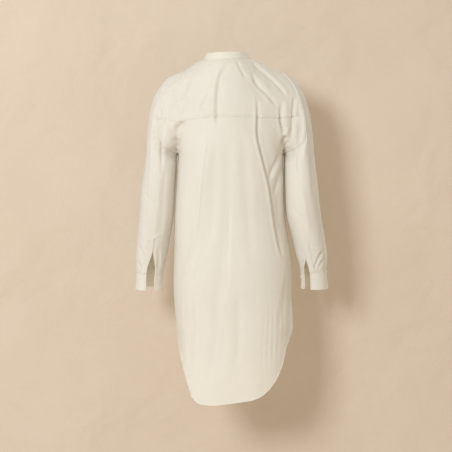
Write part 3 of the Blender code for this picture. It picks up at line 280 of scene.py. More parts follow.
# A fold is a trough (or with a minus a ridge) along a path of (x, drop) points on one face, all in
# millimetres. With a lean it is higher on one side than on the other; it fades over this share of
# its length toward both ends.
Fold = namedtuple("Fold", "name depth spread path lean fade", defaults=(0.0, 0.22))
BACK_FOLDS = (
    Fold("yoke, from the collar", 5, 8, ((2, 14), (18, 36), (31, 56), (38, 86), (41, 122), (42, 177),
         (39, 215)), -0.6),
    Fold("yoke, behind that", 3.5, 16, ((30, 70), (34, 110), (36, 150), (36, 200))),
    Fold("yoke, beside the collar", 3, 5, ((-14, 12), (-25, 36), (-40, 68)), -0.5),
    Fold("yoke to armpit", 4, 6.5, ((-55, 36), (-63, 66), (-76, 87), (-97, 108), (-118, 134),
         (-134, 158)), -0.6, 0.3),
    Fold("yoke, under that", 3, 14, ((-66, 62), (-80, 100), (-104, 130))),
    Fold("right shoulder", 4.2, 6, ((-50, 4), (-85, 32), (-124, 68), (-150, 97), (-163, 121)), 0.55),
    Fold("right shoulder, inner", 2.4, 10, ((-60, 26), (-96, 60), (-128, 96))),
    Fold("long slanting fold", 5.2, 6, ((-68, 105), (-72.5, 140), (-73, 176), (-73.5, 225), (-87, 285),
         (-107.5, 367), (-123.5, 474), (-136, 540), (-150, 590)), -0.75, 0.16),
    Fold("hollow along it", 5, 18, ((-84, 150), (-88, 225), (-103, 285), (-124, 367), (-138, 474),
         (-146, 560))),
    Fold("left yoke ridge", -3.2, 7, ((88, 34), (106, 70), (118, 100), (134, 141), (150, 171),
         (162, 190))),
    Fold("left yoke, above it", 2.8, 12, ((118, 60), (134, 96), (148, 128))),
    Fold("left shoulder hollow", 4, 8.5, ((147, 78), (151, 100), (153, 132), (160, 160))),
    Fold("left yoke corner", 2.6, 6, ((62, 104), (76, 132), (88.5, 165)), -0.5),
    Fold("left yoke, low", -1.6, 5, ((80, 118), (96, 142), (112, 170))),
    Fold("left armhole", 5.2, 5.5, ((184, 92), (191, 124), (188, 171), (189, 191), (192, 226), (192, 305),
         (196, 352)), 0.3, 0.3),
    Fold("left armhole, outer", -2.4, 6, ((198, 120), (201, 160), (204, 220), (206, 262))),
    Fold("left armpit", 6, 10, ((128, 186), (142, 200), (150, 226), (149, 256))),
    Fold("left armpit, upper", -2.6, 6, ((136, 176), (158, 192), (166, 216))),
    Fold("left pit, hollow", 5, 7, ((128, 188), (140, 200), (150, 207), (160, 204)), 0.3),
    Fold("left pit, ridge", -3.5, 4.2, ((134, 208), (145, 224), (149, 243))),
    Fold("left pit, nick", 5, 4.2, ((153, 226), (150, 242), (146, 262)), 0.3),
    Fold("left pit, sleeve side", 3.4, 4.2, ((174, 200), (163, 224), (157, 252)), 0.4),
    Fold("right pit, line", 5, 4.2, ((-138, 158), (-139.5, 185), (-143, 200), (-150, 213), (-154, 224)),
         -0.4),
    Fold("right pit, ridge", -3.6, 4.4, ((-161, 200), (-154, 220), (-147, 233))),
    Fold("right pit, curl", 4.6, 4, ((-163, 227), (-153, 230), (-146, 240), (-147, 254))),
    Fold("right pit, lower curl", 3.2, 3.8, ((-168, 240), (-158, 246), (-151, 260))),
    Fold("right armhole", 6, 5.5, ((-180.5, 100), (-176, 140), (-172, 177), (-171, 205), (-166, 245)),
         -0.4),
    Fold("right armhole, inner", 5, 6, ((-141, 127), (-139, 160), (-140, 191), (-149, 227), (-151, 258)),
         -0.4),
    Fold("right armhole, between", -3, 7, ((-158, 120), (-156, 160), (-157, 205), (-160, 240))),
    Fold("right outer", 4, 5, ((-194, 118), (-189, 151), (-191, 177), (-190, 250), (-188, 316),
         (-194, 370)), -0.4, 0.3),
    Fold("right sleeve ridge", -3, 6, ((-205, 135), (-207, 180), (-208, 240), (-206, 300))),
    Fold("right armpit", 5, 7, ((-148, 262), (-134, 300), (-118, 340), (-110, 360)), 0.5),
    Fold("right armpit, lower", 4, 6, ((-150, 300), (-140, 350), (-128, 400)), 0.4),
    Fold("right side, high", -3, 6, ((-150, 330), (-147, 400), (-146, 480))),
    Fold("left long ridge", -5.2, 15, ((60, 205), (71, 279), (80, 360), (91, 474), (103, 550), (124, 623),
         (146, 673)), fade=0.18),
    Fold("left long ridge, its edge", 1.4, 5, ((60, 215), (69, 279), (78, 360), (89, 474), (101, 550),
         (122, 623), (144, 673)), -0.9, 0.15),
    Fold("middle trough", 3.4, 18, ((2, 215), (0, 360), (2, 474), (12, 564), (18, 641), (28, 702),
         (16, 780), (20, 841), (36, 925)), 0.35, 0.15),
    Fold("middle trough, its edge", 1.1, 6, ((0, 400), (1, 500), (4, 600), (3, 680)), 0.8),
    Fold("left of the middle", 2.2, 12, ((40, 230), (44, 330), (50, 450), (58, 560))),
    Fold("right of the middle", 2, 14, ((-36, 200), (-40, 320), (-48, 450), (-60, 600))),
    Fold("low middle", 2.2, 12, ((52, 640), (40, 720), (46, 820), (60, 930))),
    Fold("low right of the middle", 1.8, 10, ((-20, 660), (-24, 760), (-16, 880))),
    Fold("left low trough", 3.6, 8.5, ((118, 660), (112, 743), (119, 825), (116, 920)), -0.4, 0.3),
    Fold("left low ridge", -1.8, 6, ((136, 680), (134, 740), (130, 800))),
    Fold("right pleat 1", 0.9, 3.6, ((-100, 690), (-94, 780), (-90, 890)), 0.3),
    Fold("right pleat 2", 0.9, 3.6, ((-112, 680), (-108, 770), (-104, 880)), 0.3),
    Fold("right pleat 3", 0.9, 3.2, ((-122, 700), (-121, 790), (-117, 870)), 0.3),
    Fold("right pleat 4", 0.9, 4, ((-138, 690), (-137, 770), (-131, 850)), 0.3),
    Fold("right pleat 5", 0.9, 3.4, ((-150, 700), (-150, 760), (-144, 830)), 0.3),
    Fold("right side edge", 1.8, 9, ((-158, 600), (-150, 660), (-140, 720), (-130, 780)), -0.4),
    Fold("left sleeve press", -2, 3.4, ((221, 170), (226, 230), (229, 300), (233, 420), (238, 550)), -0.5,
         0.12),
    Fold("left sleeve, inner", 3, 9, ((178, 300), (186, 380), (192, 460), (205, 530)), 0.3),
    Fold("left sleeve, elbow", 2.2, 6, ((245, 380), (224, 405), (200, 418)), 0.4),
    Fold("left sleeve, low 1", 3.4, 4.2, ((262, 530), (250, 555), (243, 585), (241, 606)), 0.3),
    Fold("left sleeve, low 2", 3.2, 3.8, ((206, 540), (203, 565), (205, 590), (205, 607))),
    Fold("left sleeve, low 3", 2.8, 4, ((270, 575), (258, 590), (252, 606)), 0.4),
    Fold("left sleeve, low 4", -1.4, 4, ((196, 500), (214, 516), (246, 520)), 0.3),
    Fold("right sleeve, upper", 2.8, 7.5, ((-222, 190), (-226, 270), (-230, 350), (-236, 430)), -0.3),
    Fold("right sleeve, middle", -2, 6, ((-200, 360), (-212, 440), (-226, 510))),
    Fold("right sleeve, elbow", 2, 5.5, ((-176, 420), (-196, 448), (-222, 458)), 0.4),
    Fold("right sleeve, low 1", 4, 4.4, ((-262, 548), (-250, 566), (-240, 590), (-236, 604)), -0.5),
    Fold("right sleeve, low 2", 3.4, 4, ((-272, 570), (-258, 582), (-248, 603)), -0.4),
    Fold("right sleeve, low 3", -3, 4.2, ((-226, 536), (-244, 548), (-262, 552)), 0.3),
    Fold("right sleeve, low 4", 3, 3.6, ((-206, 540), (-204, 570), (-205, 604))),
)
FRONT_FOLDS = (
    Fold("left chest", 5.5, 10, ((60, 120), (85, 180), (105, 250), (112, 330)), 0.4),
    Fold("left chest, outer", -3, 8, ((92, 90), (112, 140), (128, 200))),
    Fold("right chest", 5.5, 10, ((-60, 120), (-82, 185), (-100, 250), (-110, 340)), -0.4),
    Fold("right chest, outer", -3, 8, ((-90, 85), (-110, 140), (-130, 205))),
    Fold("left long trough", 7, 13, ((85, 300), (88, 450), (95, 620), (90, 780), (98, 880)), 0.4, 0.16),
    Fold("left long ridge", -3, 8, ((62, 360), (64, 520), (58, 700), (64, 860)), 0.3),
    Fold("right long trough", 7, 12, ((-78, 330), (-86, 470), (-98, 600), (-105, 740), (-100, 870)), -0.4,
         0.16),
    Fold("right long ridge", -2.8, 7, ((-56, 400), (-60, 560), (-70, 720), (-68, 850)), 0.3),
    Fold("left side ridge", -4.5, 11, ((125, 420), (130, 560), (128, 720))),
    Fold("right side ridge", -4.5, 11, ((-122, 400), (-134, 540), (-136, 700))),
    Fold("left armpit", 5, 7, ((138, 200), (128, 240), (112, 300)), 0.4),
    Fold("right armpit", 5, 7, ((-140, 205), (-130, 250), (-116, 310)), -0.4),
    Fold("left sleeve", 5, 8, ((185, 150), (190, 240), (196, 360)), 0.3),
    Fold("left sleeve, outer", -2.6, 6, ((212, 170), (218, 280), (226, 400), (232, 500)), 0.3),
    Fold("left sleeve, elbow 1", 3.6, 6, ((172, 380), (192, 400), (222, 402), (246, 386)), 0.3),
    Fold("left sleeve, elbow 2", 3, 6, ((178, 428), (200, 440), (232, 430)), 0.3),
    Fold("left sleeve, low", 2.4, 4, ((236, 540), (232, 575), (234, 600))),
    Fold("right sleeve", 5, 8, ((-186, 150), (-192, 235), (-196, 350)), -0.3),
    Fold("right sleeve, outer", -2.6, 6, ((-210, 170), (-216, 280), (-224, 400), (-234, 500)), 0.3),
    Fold("right sleeve, elbow 1", 3.6, 6, ((-170, 372), (-194, 394), (-224, 396), (-246, 380)), 0.3),
    Fold("right sleeve, elbow 2", 3, 6, ((-178, 424), (-204, 436), (-234, 424)), 0.3),
    Fold("right sleeve, low", 2.4, 4, ((-240, 535), (-238, 570), (-242, 600))),
)


def smooth(t):
    """Ease from 0 to 1, and stay level outside."""
    return eased(min(max(t, 0.0), 1.0))


def mix(a, b, share):
    return a + (b - a) * share


def ring_point(turn, drop):
    """On the body below the underarms; turn 0 is the middle of the back, 90 the left side."""
    ring = RINGS.at(drop)
    sine = math.sin(math.radians(turn))
    cosine = math.cos(math.radians(turn))
    reach = (ring.back if cosine > 0 else ring.front) - ring.side
    return Vector((ring.middle + ring.half * math.copysign(abs(sine) ** (2 / ring.square), sine),
                   ring.side + reach * abs(cosine) ** (2 / ring.square),
                   -drop))


def arch_at(x, face):
    """The row of the arches at x, and their bow; face is 1 behind and -1 in front."""
    table, bow = (BACK_ARCHES, BACK_BOW) if face > 0 else (FRONT_ARCHES, FRONT_BOW)
    near, far = ARCH_SIDE_ENDS
    return table.at(abs(x - ARCH_SIDE * (1 - smooth((abs(x) - near) / (far - near))))), bow


def arch_point(x, turn):
    """On the upper body; turn 0 is the crest of the shoulder, 90 where the back stands upright."""
    face = 1 if turn >= 0 else -1
    arch, bow = arch_at(x, face)
    bend = math.radians(min(abs(turn), 90.0))
    y = mix(arch.crest_y, arch.wall, math.sin(bend) ** bow)
    drop = arch.crest_drop + arch.fall * (1 - math.cos(bend) ** bow)
    drop += arch.fall * max(abs(turn) - 90.0, 0.0) / 90.0
    return pit_creased(Vector((x, y, -drop)), face)


def arch_turn(x, drop, face):
    """The turn at which an arch reaches a drop."""
    arch, bow = arch_at(x, face)
    share = (drop - arch.crest_drop) / arch.fall
    if share >= 1:
        return face * 90.0 * share
    return face * math.degrees(math.acos((1 - max(share, 0.0)) ** (1 / bow)))


def pit_creased(point, face):
    """The upper body drawn in toward the armpits, until it meets the first ring."""
    down = (-point.z - PIT_TOP) / (UNDERARM_DROP - PIT_TOP)
    if down <= 0:
        return point
    crease = mix(PIT_TOP_HALF, UNDERARM_HALF, down)
    ring = RINGS.at(UNDERARM_DROP)
    reach = abs(point.x)
    share = mix(smooth(down), down ** PIT_DEEPENS, min(reach / crease, 1.0) ** PIT_NARROWS)
    if reach <= crease:
        turn = math.degrees(math.asin(min((reach / crease) ** (ring.square / 2), 1.0)))
        target = ring_point(turn if face > 0 else 180.0 - turn, UNDERARM_DROP).y
        return Vector((point.x, mix(point.y, target, share), point.z))
    fade = max(1 - (reach - crease) / PIT_WIDTH, 0.0) ** PIT_FADES
    return Vector((point.x, mix(point.y, ring.side, share * fade), point.z))


def frame_of(surface, a, b, step_a, step_b):
    """A point of a surface and its outward normal, by small steps across it."""
    along = surface(a + step_a, b) - surface(a - step_a, b)
    across = surface(a, b + step_b) - surface(a, b - step_b)
    return surface(a, b), along.cross(across).normalized()


def body_frame(place, kind):
    """Point and outward normal on the body, from (turn, drop) or (x, turn) places."""
    if kind == "arch":
        return frame_of(arch_point, place[0], place[1], STEP_X, 2 * STEP_TURN)
    return frame_of(ring_point, place[0], place[1], STEP_TURN, STEP_DROP)


def coons(bottom, top, low, high, u, v):
    """A place inside four border lines; each gives a pair of numbers. The side lines low and high
    bend only what lies near them."""
    def ruled(u):
        return mix(np.array(bottom(u), dtype=float), np.array(top(u), dtype=float), v)
    return tuple(ruled(u) + (1 - u) ** EDGE_REACH * (np.array(low(v)) - ruled(0.0))
                 + u ** EDGE_REACH * (np.array(high(v)) - ruled(1.0)))


Spot = namedtuple("Spot", "point normal")
BACK_COLUMNS = [c / (NECK_CELLS + SHOULDER_CELLS) for c in
                range(-NECK_CELLS - SHOULDER_CELLS, NECK_CELLS + SHOULDER_CELLS + 1)]


def back_turn(c):
    """The turn of a column of the back round the rings; c runs from -1 to 1."""
    return math.copysign(90.0 * (1 - (1 - abs(c)) ** SIDE_CROWDING), c)


def steps(count):
    return [k / count for k in range(count + 1)]


def armhole_ways(panel):
    """Steps from 0 to 1 down a panel's armhole, closer together toward the underarm."""
    return [mix(t, math.sin(math.radians(90.0 * t)), UNDERARM_CROWDING)
            for t in steps(ARMHOLE_CELLS[panel])]


def lengths_along(points):
    """Distance walked to each point of a line, as shares of its whole length."""
    reached = np.cumsum([0.0] + [(b - a).length for a, b in zip(points, points[1:])])
    return reached / reached[-1]


def evened(shares, place_at, underarm_at, v):
    """Where to take the columns of one row between the yoke and the underarm: at their own shares
    above, and lower down spaced over the surface as they are on the ring between the underarms."""
    fine = np.linspace(shares[0], shares[-1], ROW_SAMPLES)
    on_ring = lengths_along([underarm_at(share) for share in fine])
    on_row = lengths_along([arch_point(*place_at(share)) for share in fine])
    wanted = np.interp(shares, fine, on_ring)
    spaced = np.interp(wanted, on_row, fine)
    return [mix(share, even, v) for share, even in zip(shares, spaced)]


def sided(row, side):
    return row.left if side == LEFT else row.right


def sided_turn(row, side):
    return row.left_turn if side == LEFT else row.right_turn


def yoke_seam_place(c):
    """Along the yoke seam, from the right armhole (c = -1) to the left one; an x and a drop."""
    side = LEFT if c >= 0 else RIGHT
    edge = sided(YOKE_ARMHOLE.at(1.0), side)
    below_neck = min(abs(c) / BELOW_NECK, 1.0) * YOKE_MIDDLE
    beyond = max(abs(c) - BELOW_NECK, 0.0) / (1 - BELOW_NECK)
    x = side * (below_neck + beyond * (edge - YOKE_MIDDLE))
    return x, YOKE_SEAM.at(x).drop


def back_armhole_place(side, way):
    """From the yoke seam (way 0) to the underarm, an x and a drop."""
    row = BACK_ARMHOLE.at(way)
    start = YOKE_SEAM.at(side * sided(row, side)).drop if way == 0 else yoke_seam_place(side)[1]
    table_start = BACK_ARMHOLE.at(0.0).drop
    share = (row.drop - table_start) / (UNDERARM_DROP - table_start)
    return side * sided(row, side), mix(start, UNDERARM_DROP, share)


def back_upper_spots():
    """The back from the yoke seam to the ring between the underarms."""
    def underarm_line(u):
        return ring_point(back_turn(2 * u - 1), UNDERARM_DROP).x, UNDERARM_DROP

    def place_at(c, v):
        x, drop = coons(lambda u: yoke_seam_place(2 * u - 1), underarm_line,
                        lambda way: back_armhole_place(RIGHT, way),
                        lambda way: back_armhole_place(LEFT, way), (c + 1) / 2, v)
        return x, arch_turn(x, drop, 1)
    rows = []
    for v in armhole_ways("back")[:-1]:
        columns = evened(BACK_COLUMNS, lambda c: place_at(c, v),
                         lambda c: ring_point(back_turn(c), UNDERARM_DROP), v)
        rows.append([Spot(*body_frame(place_at(c, v), "arch")) for c in columns])
    rows.append([Spot(*body_frame((back_turn(c), UNDERARM_DROP), "ring")) for c in BACK_COLUMNS])
    return rows


def back_lower_spots():
    """The back below the underarms: down the side seams, then the shirt tail."""
    rows = []
    for v in steps(SIDE_CELLS)[1:]:
        ends = [mix(SIDE_END[RIGHT], SIDE_END[LEFT], (c + 1) / 2) for c in BACK_COLUMNS]
        rows.append([Spot(*body_frame((back_turn(c), mix(UNDERARM_DROP, end, v)), "ring"))
                     for c, end in zip(BACK_COLUMNS, ends)])
    corner = BACK_HEM_SIDES.at(1.0)
    for v in steps(TAIL_CELLS)[1:]:
        rise = BACK_HEM_SIDES.at(v)
        row = []
        for c in BACK_COLUMNS:
            side = LEFT if c >= 0 else RIGHT
            share = abs(back_turn(c)) / 90.0
            top = mix(SIDE_END[RIGHT], SIDE_END[LEFT], (c + 1) / 2)
            bottom = BACK_HEM_BOTTOM.at(side * share * sided_turn(corner, side)).drop
            straight = mix(SIDE_END[side], sided(corner, side), v)
            drop = mix(top, bottom, v) + (sided(rise, side) - straight) * share
            row.append(Spot(*body_frame((side * share * sided_turn(rise, side), drop), "ring")))
        rows.append(row)
    return rows


def walked(points, axis):
    """Distance walked to each point of a grid, along one of its axes."""
    legs = np.linalg.norm(np.diff(points, axis=axis), axis=2)
    return np.insert(np.cumsum(legs, axis=axis), 0, 0.0, axis=axis)


def curve(values, keys, at, corners=()):
    """Each row of values read on a smooth curve through it, which may turn sharply at corners."""
    leaving, coming = np.zeros_like(values), np.zeros_like(values)
    stops = [0, *corners, len(keys) - 1]
    for a, b in zip(stops, stops[1:]):
        slope = np.gradient(values[:, a:b + 1], keys[a:b + 1], axis=1)
        leaving[:, a:b], coming[:, a + 1:b + 1] = slope[:, :-1], slope[:, 1:]
    low = np.clip(np.searchsorted(keys, at, side="right") - 1, 0, len(keys) - 2)
    span = keys[low + 1] - keys[low]
    t, span = ((at - keys[low]) / span)[..., None], span[..., None]

    def pick(grid, index):
        return np.take_along_axis(grid, index[..., None], axis=1)
    return bridge(pick(values, low), pick(values, low + 1),
                  pick(leaving, low) * span, pick(coming, low + 1) * span, t)


EDGE_STEPS = (0.0, 0.0005, 0.0012, 0.003, 0.0055, 0.0068, 0.0076, 0.0086, 0.0100)
EDGE_MARGIN = 0.6         # share of a cell that stays free beyond the last of these steps


def stations(lines, keys, edges, cell):
    """Where to read each line: at these distances from its two ends, and between them evenly
    inside every cell."""
    reached = walked(lines, 1)
    mean = reached.mean(axis=0)
    inner = []
    for a, b, leg in zip(keys, keys[1:], np.diff(mean)):
        count = max(1, round(leg / cell))
        inner += [mix(a, b, k / count) for k in range(count)]
    inner.append(keys[-1])
    where = np.interp(inner, keys, mean)
    margin = edges[-1] + EDGE_MARGIN * cell
    inner = np.array(inner)[(where > margin) & (where < mean[-1] - margin)]
    rows = [np.concatenate((np.interp(edges, line, keys), inner,
                            np.interp(line[-1] - np.array(edges[::-1]), line, keys))) for line in reached]
    return np.maximum.accumulate(np.array(rows), axis=1)


def finer(spots, column_edges=EDGE_STEPS, column_corners=(), closed=False, cell=CELL):
    """A coarse grid of spots read much finer, as points and outward normals."""
    grid = np.array([[(*spot.point, *spot.normal) for spot in row] for row in spots])
    if closed:
        grid = np.concatenate((grid[:, -2:-1], grid, grid[:, 1:2]), axis=1)
    keys = walked(grid[..., :3], 0).mean(axis=1)
    lines = grid.swapaxes(0, 1)
    grid = curve(lines, keys, stations(lines[..., :3], keys, EDGE_STEPS, cell)).swapaxes(0, 1)
    keys = walked(grid[..., :3], 1).mean(axis=0)
    own = slice(1, -1) if closed else slice(None)
    at = stations(grid[:, own, :3], keys[own], column_edges, cell)
    grid = curve(grid, keys, at, column_corners)
    points, normals = grid[..., :3], grid[..., 3:]
    return points, normals / np.linalg.norm(normals, axis=2)[..., None]


PATH_STEP = 0.008         # how finely a fold's path is bent round
FOLD_REACH = 2.6          # how many spreads away a fold still shows
LEAN_HEIGHT = 2.3         # makes the rise of a leaning fold as high as a plain one is deep


def rounded(path):
    """A fold's path with smooth bends between its points."""
    path = np.array(path)[None]
    keys = walked(path, 1)[0]
    fine = np.linspace(0, keys[-1], max(int(keys[-1] / PATH_STEP), 3))
    return curve(path, keys, fine[None])[0]


def fold_depth(fold, x, drop):
    """How deep one fold is at each place; it fades toward both ends of its path."""
    path = rounded(np.array(fold.path) / 1000)
    spread = fold.spread / 1000
    depth = np.zeros(x.shape)
    low, high = path.min(axis=0) - FOLD_REACH * spread, path.max(axis=0) + FOLD_REACH * spread
    near = (x > low[0]) & (x < high[0]) & (drop > low[1]) & (drop < high[1])
    places = np.stack((x[near], drop[near]), axis=-1)
    gap, side, along = np.full(len(places), 1.0), np.zeros(len(places)), np.zeros(len(places))
    length = 0.0
    for a, b in zip(path, path[1:]):
        leg = np.linalg.norm(b - a)
        t = np.clip((places - a) @ (b - a) / leg ** 2, 0, 1)
        off = places - a - t[:, None] * (b - a)
        distance = np.linalg.norm(off, axis=1)
        closer = distance < gap
        gap[closer] = distance[closer]
        across = off[:, 0] * (b - a)[1] - off[:, 1] * (b - a)[0]
        side[closer] = np.sign(across[closer])
        along[closer] = length + leg * t[closer]
        length += leg
    share = along / length
    fade = np.clip(share / fold.fade, 0, 1) * np.clip((1 - share) / fold.fade, 0, 1)
    spreads_off = gap / spread
    bell = np.exp(-spreads_off * spreads_off)
    shape = bell * (1 - abs(fold.lean)) + LEAN_HEIGHT * fold.lean * side * spreads_off * bell
    depth[near] = fold.depth / 1000 * eased(fade) * shape
    return depth


RIPPLES = ((0.0009, 25.0, 4.0), (0.00028, 80.0, 12.0))     # height, then how many a metre across and down
FACE_STARTS, FACE_TURNS = 0.12, 0.5       # a face's folds come in as its normals turn toward that face


def rippled(points):
    """Shallow uneven ripples that run down the cloth."""
    flat = points.reshape(-1, 3)
    total = np.zeros(len(flat))
    for height, across, down in RIPPLES:
        total += [height * noise.noise((x * across, y * across, z * down)) for x, y, z in flat.tolist()]
    return total.reshape(points.shape[:2])


def pressed(points, normals):
    """The plain form with its folds and ripples."""
    depth = rippled(points)
    for face, folds in ((1, BACK_FOLDS), (-1, FRONT_FOLDS)):
        share = np.clip((face * normals[..., 1] - FACE_STARTS) / FACE_TURNS, 0, 1)
        if share.any():
            for fold in folds:
                depth += eased(share) * fold_depth(fold, points[..., 0], -points[..., 2])
    return points - normals * depth[..., None]


def facing(points, outward, closed_rows=0):
    """The outward normals of a grid."""
    down, across = np.gradient(points, axis=0), np.gradient(points, axis=1)
    if closed_rows:
        seam = (points[:closed_rows, 1] - points[:closed_rows, -2]) / 2
        across[:closed_rows, 0] = across[:closed_rows, -1] = seam
    normals = np.cross(across, down)
    normals /= np.maximum(np.linalg.norm(normals, axis=2), 1e-12)[..., None]
    return normals * np.sign((normals * outward).sum(axis=2))[..., None]


def row_at(column, drop):
    """The row of a column of points that lies nearest to a drop."""
    return int(np.argmin(abs(column[:, 2] + drop)))


def from_border(grid, border):
    """A view of a grid whose lines start at one of its borders."""
    return {"first_row": grid.swapaxes(0, 1), "last_row": grid[::-1].swapaxes(0, 1),
            "first_column": grid, "last_column": grid[:, ::-1]}[border]


# A strip along a border: how wide and high it stands, and how much the cloth puckers beside it.
Strip = namedtuple("Strip", "width height pucker")
FELLED = Strip(0.0085, 0.0015, 0.0010)
SIDE_SEAM = Strip(0.0070, 0.0007, 0.0005)
HEM, HEM_ROLL = Strip(0.0062, 0.0007, 0.0010), Strip(0.0030, 0.0007, 0.0)
STRIP_STEP = 0.0011       # how far a strip takes to fall to the cloth
PUCKER_REACH = 0.008
# Puckers: how much of each wave, how many a metre, where a seam's own number and the wave itself
# are read in the noise.
PUCKERS = ((1.0, 110.0, 7.3, 0.5), (0.6, 260.0, 1.7, 3.5))


def band(relief, points, border, strip, part=slice(None), seed=0):
    """Raise a strip along a border, and pucker the cloth a little beyond it."""
    lines = from_border(points, border)[part]
    off = walked(lines, 1)
    along = walked(lines[:, :1], 0)[:, 0]
    step = np.clip((strip.width - off) / STRIP_STEP, 0, 1)
    wave = sum(share * np.array([noise.noise((many * a, own * seed, other)) for a in along])
               for share, many, own, other in PUCKERS)
    lift = strip.height * eased(step) + strip.pucker * wave[:, None] * np.exp(-(off / PUCKER_REACH) ** 2)
    view = from_border(relief, border)
    view[part] += lift


def raised(points, normals, relief):
    """Outer and inner side of a panel that is thicker where its relief stands up."""
    outer = points + normals * relief[..., None]
    return outer, outer - normals * (CLOTH + np.abs(relief))[..., None]


def shell(name, outer, inner, tube_rows=0):
    """A closed sheet between two grids; in its first tube_rows rows the last column meets the first."""
    height, width = outer.shape[:2]
    index = np.arange(height * width).reshape(height, width)
    if tube_rows:
        index[:tube_rows + 1, -1] = index[:tube_rows + 1, 0]
    under = index + height * width
    quads = []

    def add(*corners):
        quads.append(np.stack(corners, axis=-1).reshape(-1, 4))
    add(index[:-1, :-1], index[:-1, 1:], index[1:, 1:], index[1:, :-1])
    add(under[1:, :-1], under[1:, 1:], under[:-1, 1:], under[:-1, :-1])
    add(index[0, 1:], index[0, :-1], under[0, :-1], under[0, 1:])
    add(index[-1, :-1], index[-1, 1:], under[-1, 1:], under[-1, :-1])
    near, far = index[tube_rows:], under[tube_rows:]
    add(near[:-1, 0], near[1:, 0], far[1:, 0], far[:-1, 0])
    add(near[1:, -1], near[:-1, -1], far[:-1, -1], far[1:, -1])
    used, faces = np.unique(np.concatenate(quads), return_inverse=True)
    corners = np.concatenate((outer.reshape(-1, 3), inner.reshape(-1, 3)))[used]
    return made(name, corners, faces.reshape(-1, 4), cotton)


SHARP = 60                # degrees between two faces from which their edge shows


def made(name, corners, faces, material):
    """An object of a closed mesh, smooth but for its sharp edges."""
    data = bpy.data.meshes.new(name)
    data.from_pydata(corners.tolist(), [], faces.tolist())
    edit = bmesh.new()
    edit.from_mesh(data)
    bmesh.ops.recalc_face_normals(edit, faces=edit.faces)
    edit.to_mesh(data)
    edit.free()
    data.materials.append(material)
    data.shade_smooth()
    data.set_sharp_from_angle(angle=math.radians(SHARP))
    piece = bpy.data.objects.new(name, data)
    bpy.context.scene.collection.objects.link(piece)
    return piece


TUCK_REACH, TUCK_SINK = 0.0030, 0.0011    # how far a panel runs on under its neighbour, and how deep


def tucked(points, normals):
    """A grid with one more row before its first, under the neighbouring panel."""
    away = points[0] - points[3]
    away /= np.linalg.norm(away, axis=1)[:, None]
    return np.insert(points, 0, points[0] + away * TUCK_REACH - normals[0] * TUCK_SINK, axis=0)


STITCH_PITCH, STITCH_LENGTH, STITCH_WIDTH = 0.0027, 0.0021, 0.0006
STITCH_ABOVE, STITCH_HIGH, STITCH_DEEP = 0.00012, 0.00032, 0.0003
NEAR_BORDER = 16          # every row of stitches runs within this many lines of its border
OCTAHEDRON = np.array(((0, 2, 4), (2, 1, 4), (1, 3, 4), (3, 0, 4),
                       (2, 0, 5), (1, 2, 5), (3, 1, 5), (0, 3, 5)))
# How far from an edge the rows of stitches run.
FELLED_ROWS, SIDE_ROWS, HEM_ROWS = (0.0016, 0.0074), (0.0014, 0.0060), (0.0052,)


def thread_lines(points, normals, border, distances, part=slice(None)):
    """Lines at distances inside a border of a grid, each with its normals."""
    lines, faces = (from_border(grid, border)[part, :NEAR_BORDER] for grid in (points, normals))
    off = walked(lines, 1)
    row = np.arange(len(lines))
    found = []
    for distance in distances:
        low = np.clip((off <= distance).sum(axis=1) - 1, 0, lines.shape[1] - 2)
        t = ((distance - off[row, low]) / (off[row, low + 1] - off[row, low]))[:, None]
        found.append([mix(grid[row, low], grid[row, low + 1], t) for grid in (lines, faces)])
    return found


def thread_rows(points, normals, borders):
    """Lines inside several borders of a grid, each at its own distances."""
    return [line for border, distances in borders.items()
            for line in thread_lines(points, normals, border, distances)]


def stitched(name, rows):
    """Machine stitches: short rounded threads, end to end along each line."""
    corners, faces = [], []
    for line, normals in rows:
        reached = walked(line[None], 1)[0]
        middles = np.arange(STITCH_PITCH / 2, reached[-1], STITCH_PITCH)

        def read(values, at):
            return np.stack([np.interp(at, reached, values[:, k]) for k in range(3)], axis=1)
        start, end = read(line, middles - STITCH_LENGTH / 2), read(line, middles + STITCH_LENGTH / 2)
        along = (end - start) / np.maximum(np.linalg.norm(end - start, axis=1), 1e-9)[:, None]
        up = read(normals, middles)
        side = np.cross(along, up) * STITCH_WIDTH / 2
        middle = read(line, middles) + up * STITCH_ABOVE
        stitches = np.stack((start, end, middle + side, middle - side,
                             middle + up * STITCH_HIGH, middle - up * STITCH_DEEP), axis=1)
        for points in stitches:
            faces.append(OCTAHEDRON + 6 * len(corners))
            corners.append(points)
    return made(name, np.concatenate(corners), np.concatenate(faces), thread)


